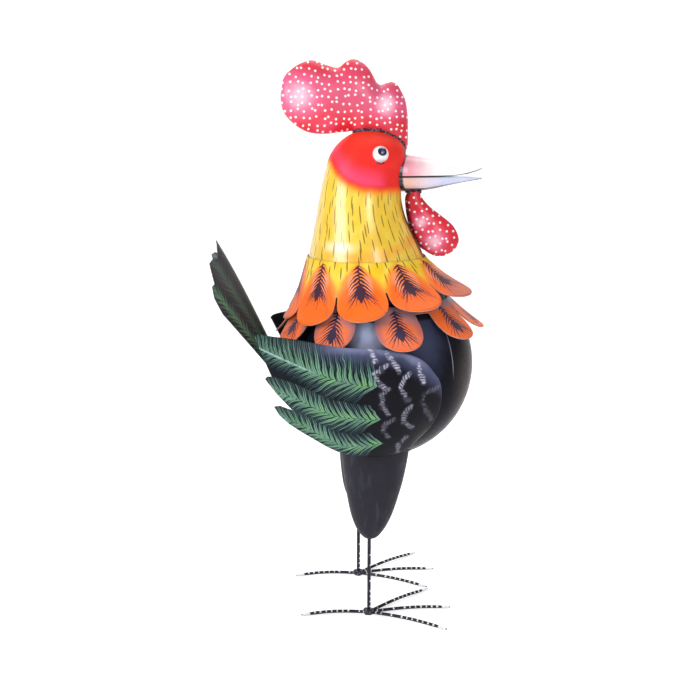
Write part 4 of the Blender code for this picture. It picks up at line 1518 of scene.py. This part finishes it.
def wire_paint(name, nick_share, claw):
    """Black wire with white nicks, and on a toe a white claw with a dark tip."""
    paint = Paint(name, tint(32, 30, 40), 0.4, shine=0.2)
    turn, along = paint.uv("wire")
    paint.coat(paint.noise(5, 3).ramp(0.5, 0.75) * 0.5, tint(66, 64, 78))
    cell = (along + (paint.noise(3) - 0.5) * 1.2) / NICK_SPACING
    luck = paint.chance(cell.whole(), 2.0)
    nick = (cell.fraction() - 0.5).size().ramp(luck * 0.10 + 0.10, luck * 0.10 + 0.04)
    off_dark_side = (turn - (0.75 if claw else 0.5)).size()
    partly = off_dark_side.ramp(luck * 0.06 + 0.22, luck * 0.06 + 0.28)
    paint.coat(nick * partly * luck.ramp(1 - nick_share, 1 - nick_share + 0.02), tint(236, 236, 240))
    if claw:
        paint.coat(along.ramp(CLAW + 0.6, CLAW - 0.6) * off_dark_side.ramp(0.17, 0.22), tint(240, 241, 245))
        paint.coat(along.ramp(2.0, 0.8), tint(70, 70, 84))
    return paint.finish()


def wire(name, points, radii, paint):
    """Round wire through points, with a rounded end at both sides."""
    points = np.asarray(points, float)
    ways = np.gradient(points, axis=0)
    ways /= np.linalg.norm(ways, axis=1, keepdims=True)
    upright = np.array((0, 1.0, 0)) if abs(ways[0, 2]) > 0.9 else np.array((0, 0, 1.0))
    sides = np.cross(ways, upright)
    sides /= np.linalg.norm(sides, axis=1, keepdims=True)
    tops = np.cross(sides, ways)
    turns = turns_round(WIRE_SIDES)[None, :, None]
    ring = sides[:, None] * np.cos(turns) + tops[:, None] * np.sin(turns)
    rows = points[:, None] + ring * np.asarray(radii)[:, None, None]
    steps = np.linalg.norm(np.diff(points, axis=0), axis=1)
    left_over = np.concatenate([np.cumsum(steps[::-1])[::-1], [0]])
    left = np.zeros(rows.shape[:2] + (2,))
    left[..., 0] = np.arange(WIRE_SIDES)[None, :] / WIRE_SIDES
    left[..., 1] = left_over[:, None]
    maps = {"wire": (left, left + (1 / WIRE_SIDES, 0))}
    return skin(name, rows, [paint], True, points[0], points[-1], maps)


def toe(name, side, direction, length, paint):
    """Gently arched toe that ends in a claw on the floor."""
    start = ANKLE_RADIUS + CLEARANCE
    share = even_shares(48)
    out = start + (length - start) * share
    lift = TOE_RADIUS + TOE_ARCH * np.sin(np.pi * share)
    x = LEG_X + out * math.cos(direction)
    y = side * (LEG_Y + out * math.sin(direction))
    points = np.stack([x, y, FLOOR + lift], axis=-1)
    ease = np.clip((1 - share) / 0.03, 0, 1)
    narrowing = 1 - 0.4 * np.clip((share - 0.8) / 0.2, 0, 1)
    radii = TOE_RADIUS * narrowing * np.sqrt(0.3 + 0.7 * ease)
    return wire(name, points, radii, paint)


leg_black = wire_paint("leg wire", 0.6, False)
toe_black = wire_paint("toe wire", 0.9, True)
for side_name, side in SIDES:
    heights = np.linspace(THIGH_TIP - CLEARANCE, FLOOR + ANKLE_HEIGHT + CLEARANCE, 40)
    rod_points = [(LEG_X, side * LEG_Y, z) for z in heights]
    rod_radii = np.full(len(heights), ROD_RADIUS)
    rod = wire("leg_rod_skin_" + side_name, rod_points, rod_radii, leg_black)
    finished(rod, "wire_black", "leg_rod_" + side_name)
    for toe_name, direction, length in TOES:
        made = toe(toe_name + "skin_" + side_name, side, direction, length, toe_black)
        finished(made, "wire_black", toe_name + side_name)

# %% [markdown]
# A weld is a row of small overlapping drops of metal. That repeats along a path, so
# Geometry Nodes place it: the path is cut at even steps, a small ball is set on every
# point at a random size, and the balls are made real and given their metal.

# %% Weld beads
def weld_tree():
    """Geometry Nodes that lay lumps of metal along a path."""
    tree = bpy.data.node_groups.new("weld bead", "GeometryNodeTree")
    sockets = tree.interface
    sockets.new_socket("Path", in_out="INPUT", socket_type="NodeSocketGeometry")
    kinds = {"Lump radius": "Float", "Lump spacing": "Float", "Seed": "Int", "Metal": "Material"}
    for label, kind in kinds.items():
        sockets.new_socket(label, in_out="INPUT", socket_type="NodeSocket" + kind)
    sockets.new_socket("Bead", in_out="OUTPUT", socket_type="NodeSocketGeometry")
    add = tree.nodes.new
    given = add("NodeGroupInput")
    result = add("NodeGroupOutput")
    path = add("GeometryNodeMeshToCurve")
    even = add("GeometryNodeResampleCurve")
    even.mode = "LENGTH"
    lump = add("GeometryNodeMeshIcoSphere")
    lump.inputs["Subdivisions"].default_value = 2
    size = add("FunctionNodeRandomValue")
    size.data_type = "FLOAT_VECTOR"
    size.inputs[0].default_value = (0.7, 0.7, 0.7)
    size.inputs[1].default_value = (1.3, 1.3, 1.3)
    spread = add("GeometryNodeInstanceOnPoints")
    real = add("GeometryNodeRealizeInstances")
    metal = add("GeometryNodeSetMaterial")
    link = tree.links.new
    link(given.outputs["Path"], path.inputs[0])
    link(path.outputs[0], even.inputs["Curve"])
    link(given.outputs["Lump spacing"], even.inputs["Length"])
    link(given.outputs["Lump radius"], lump.inputs["Radius"])
    link(given.outputs["Seed"], size.inputs["Seed"])
    link(even.outputs[0], spread.inputs["Points"])
    link(lump.outputs["Mesh"], spread.inputs["Instance"])
    link(size.outputs[0], spread.inputs["Scale"])
    link(spread.outputs[0], real.inputs[0])
    link(real.outputs[0], metal.inputs["Geometry"])
    link(given.outputs["Metal"], metal.inputs["Material"])
    link(metal.outputs[0], result.inputs[0])
    return tree


def weld_metal():
    """Dark burnt metal with a purple cast and bright specks of painted highlight."""
    paint = Paint("weld metal", tint(40, 32, 46), 0.42, metallic=0.1)
    # Painted highlight: bright specks scattered over the lumps.
    paint.coat(paint.noise(2.0, 3).ramp(0.5, 0.68) * 0.75, tint(158, 146, 172))
    return paint.finish()


WELD_TREE = weld_tree()
WELD_METAL = weld_metal()
COMB_BEAD = (2.2, 2.5)
WATTLE_BEAD = (1.8, 2.2)
EYE_BEAD = (1.2, 3.0)
WATTLE_WELD = ((31, WATTLE_TOP_Y, 186.5), (43, WATTLE_TOP_Y, 187.0))
EYE_WELD = ((-7.5, 35.2, 218.4), (-4, 34.8, 217.6), (-0.5, 34.0, 218.2))


def weld(name, points, bead, seed):
    """Weld along a path in millimetres from the ball's centre, its bead a radius and a spacing."""
    mesh = bpy.data.meshes.new(name + "_path")
    places = [tuple(np.asarray(p, float) * MM + np.array(BALL)) for p in points]
    mesh.from_pydata(places, [(i, i + 1) for i in range(len(places) - 1)], [])
    path = bpy.data.objects.new(name + "_path", mesh)
    bpy.context.scene.collection.objects.link(path)
    laid = path.modifiers.new("bead", "NODES")
    laid.node_group = WELD_TREE
    radius, spacing = bead
    wanted = {"Lump radius": radius * MM, "Lump spacing": spacing * MM, "Seed": seed, "Metal": WELD_METAL}
    for socket in WELD_TREE.interface.items_tree:
        if socket.name in wanted:
            laid[socket.identifier] = wanted[socket.name]
    shown = path.evaluated_get(bpy.context.evaluated_depsgraph_get())
    made_mesh = bpy.data.meshes.new_from_object(shown)
    made_mesh.name = name
    made_mesh.shade_smooth()
    bpy.data.objects.remove(path)
    made = bpy.data.objects.new(name, made_mesh)
    bpy.context.scene.collection.objects.link(made)
    finished(made, "wire_black")


def head_line(side):
    """Points where one side of the comb meets the head."""
    found = []
    for x in np.linspace(-46, 26, 60):
        turns = np.linspace(np.pi / 2, np.pi, 240)
        ring = comb_ring(x, turns)
        height = np.minimum(ring[:, 2], NECK_STATIONS[-1, 0])
        rear, front, share = (neck_half(height, i) for i in (1, 2, 3))
        half = (front - rear) / 2
        inside = ((x - (front + rear) / 2) / half) ** 2 + (ring[:, 1] / (half * share)) ** 2 < 1
        inside &= ring[:, 2] < HEAD_TOP[2] - 0.5
        if inside.any():
            spot = ring[np.argmax(inside)]
            found.append((spot[0], side * spot[1], spot[2]))
    return found


for side_name, side in SIDES:
    mirror = (1, side, 1)
    weld("comb_weld_" + side_name, head_line(side), COMB_BEAD, 3 + side)
    weld("wattle_weld_" + side_name, np.array(WATTLE_WELD) * mirror, WATTLE_BEAD, 8 + side)
    weld("eye_weld_" + side_name, np.array(EYE_WELD) * mirror, EYE_BEAD, 12 + side)

# %% [markdown]
# The toes meet the leg rod in a pad of melted metal on the floor. Its solid is a plain
# cone, so a lumpy dome stands for it here, with a ring of weld laid round it.

# %% Ankle pads
PAD_WELD_RADIUS = 5.4
PAD_WELD_HEIGHT = 3.2
PAD_BEAD = (1.2, 2.4)


def pad_ring(side):
    """Path of the weld laid round a pad."""
    x, y = LEG_X, side * LEG_Y
    return [
        (x + PAD_WELD_RADIUS * math.sin(turn), y - PAD_WELD_RADIUS * math.cos(turn), FLOOR + PAD_WELD_HEIGHT)
        for turn in np.linspace(0, 6, 13)
    ]


def ankle(name, side, metal):
    """Lumpy pad of weld."""
    shares = even_shares(12)[1:]
    turns = turns_round(36)
    lump_turn = np.random.default_rng(4 + side).uniform(-1, 1) * 3
    rows = np.zeros((len(shares), len(turns), 3))
    for r, share in enumerate(shares):
        wave = 1 + 0.06 * np.sin(3 * turns + lump_turn) + 0.05 * np.sin(7 * turns + 9 * share)
        radius = ANKLE_RADIUS * 0.93 * (1 - share**3 * 0.62) * wave
        rows[r, :, 0] = LEG_X + radius * np.sin(turns)
        rows[r, :, 1] = side * LEG_Y - radius * np.cos(turns)
        rows[r, :, 2] = FLOOR + ANKLE_HEIGHT * r / (len(shares) - 1)
    centre = np.array((LEG_X, side * LEG_Y, FLOOR))
    return skin(name, rows, [metal], True, centre, centre + (0, 0, ANKLE_HEIGHT))


for side_name, side in SIDES:
    finished(ankle("ankle_pad_" + side_name, side, WELD_METAL), "wire_black", "ankle_" + side_name)
    weld("ankle_weld_" + side_name, pad_ring(side), PAD_BEAD, 20 + side)

# %% [markdown]
# The floor is matt and nearly white, lit a little from within as a light table is, so
# that shadows on it stay faint. A slight cloudiness keeps it from looking blank.

# %% Floor finish
floor_paint = Paint("floor", tint(248, 248, 249), 0.8)
floor_paint.coat(floor_paint.noise(400, 2).ramp(0.4, 0.8) * 0.3, tint(242, 243, 246))
floor_paint.drive("Emission Color", (1, 1, 1, 1))
floor_paint.drive("Emission Strength", 0.5)
floor_paint.drive("Specular IOR Level", 0.1)
floor.data.materials.append(floor_paint.finish())
print("floor finished")

# %% [markdown]

# %% Finish
print("figure built")
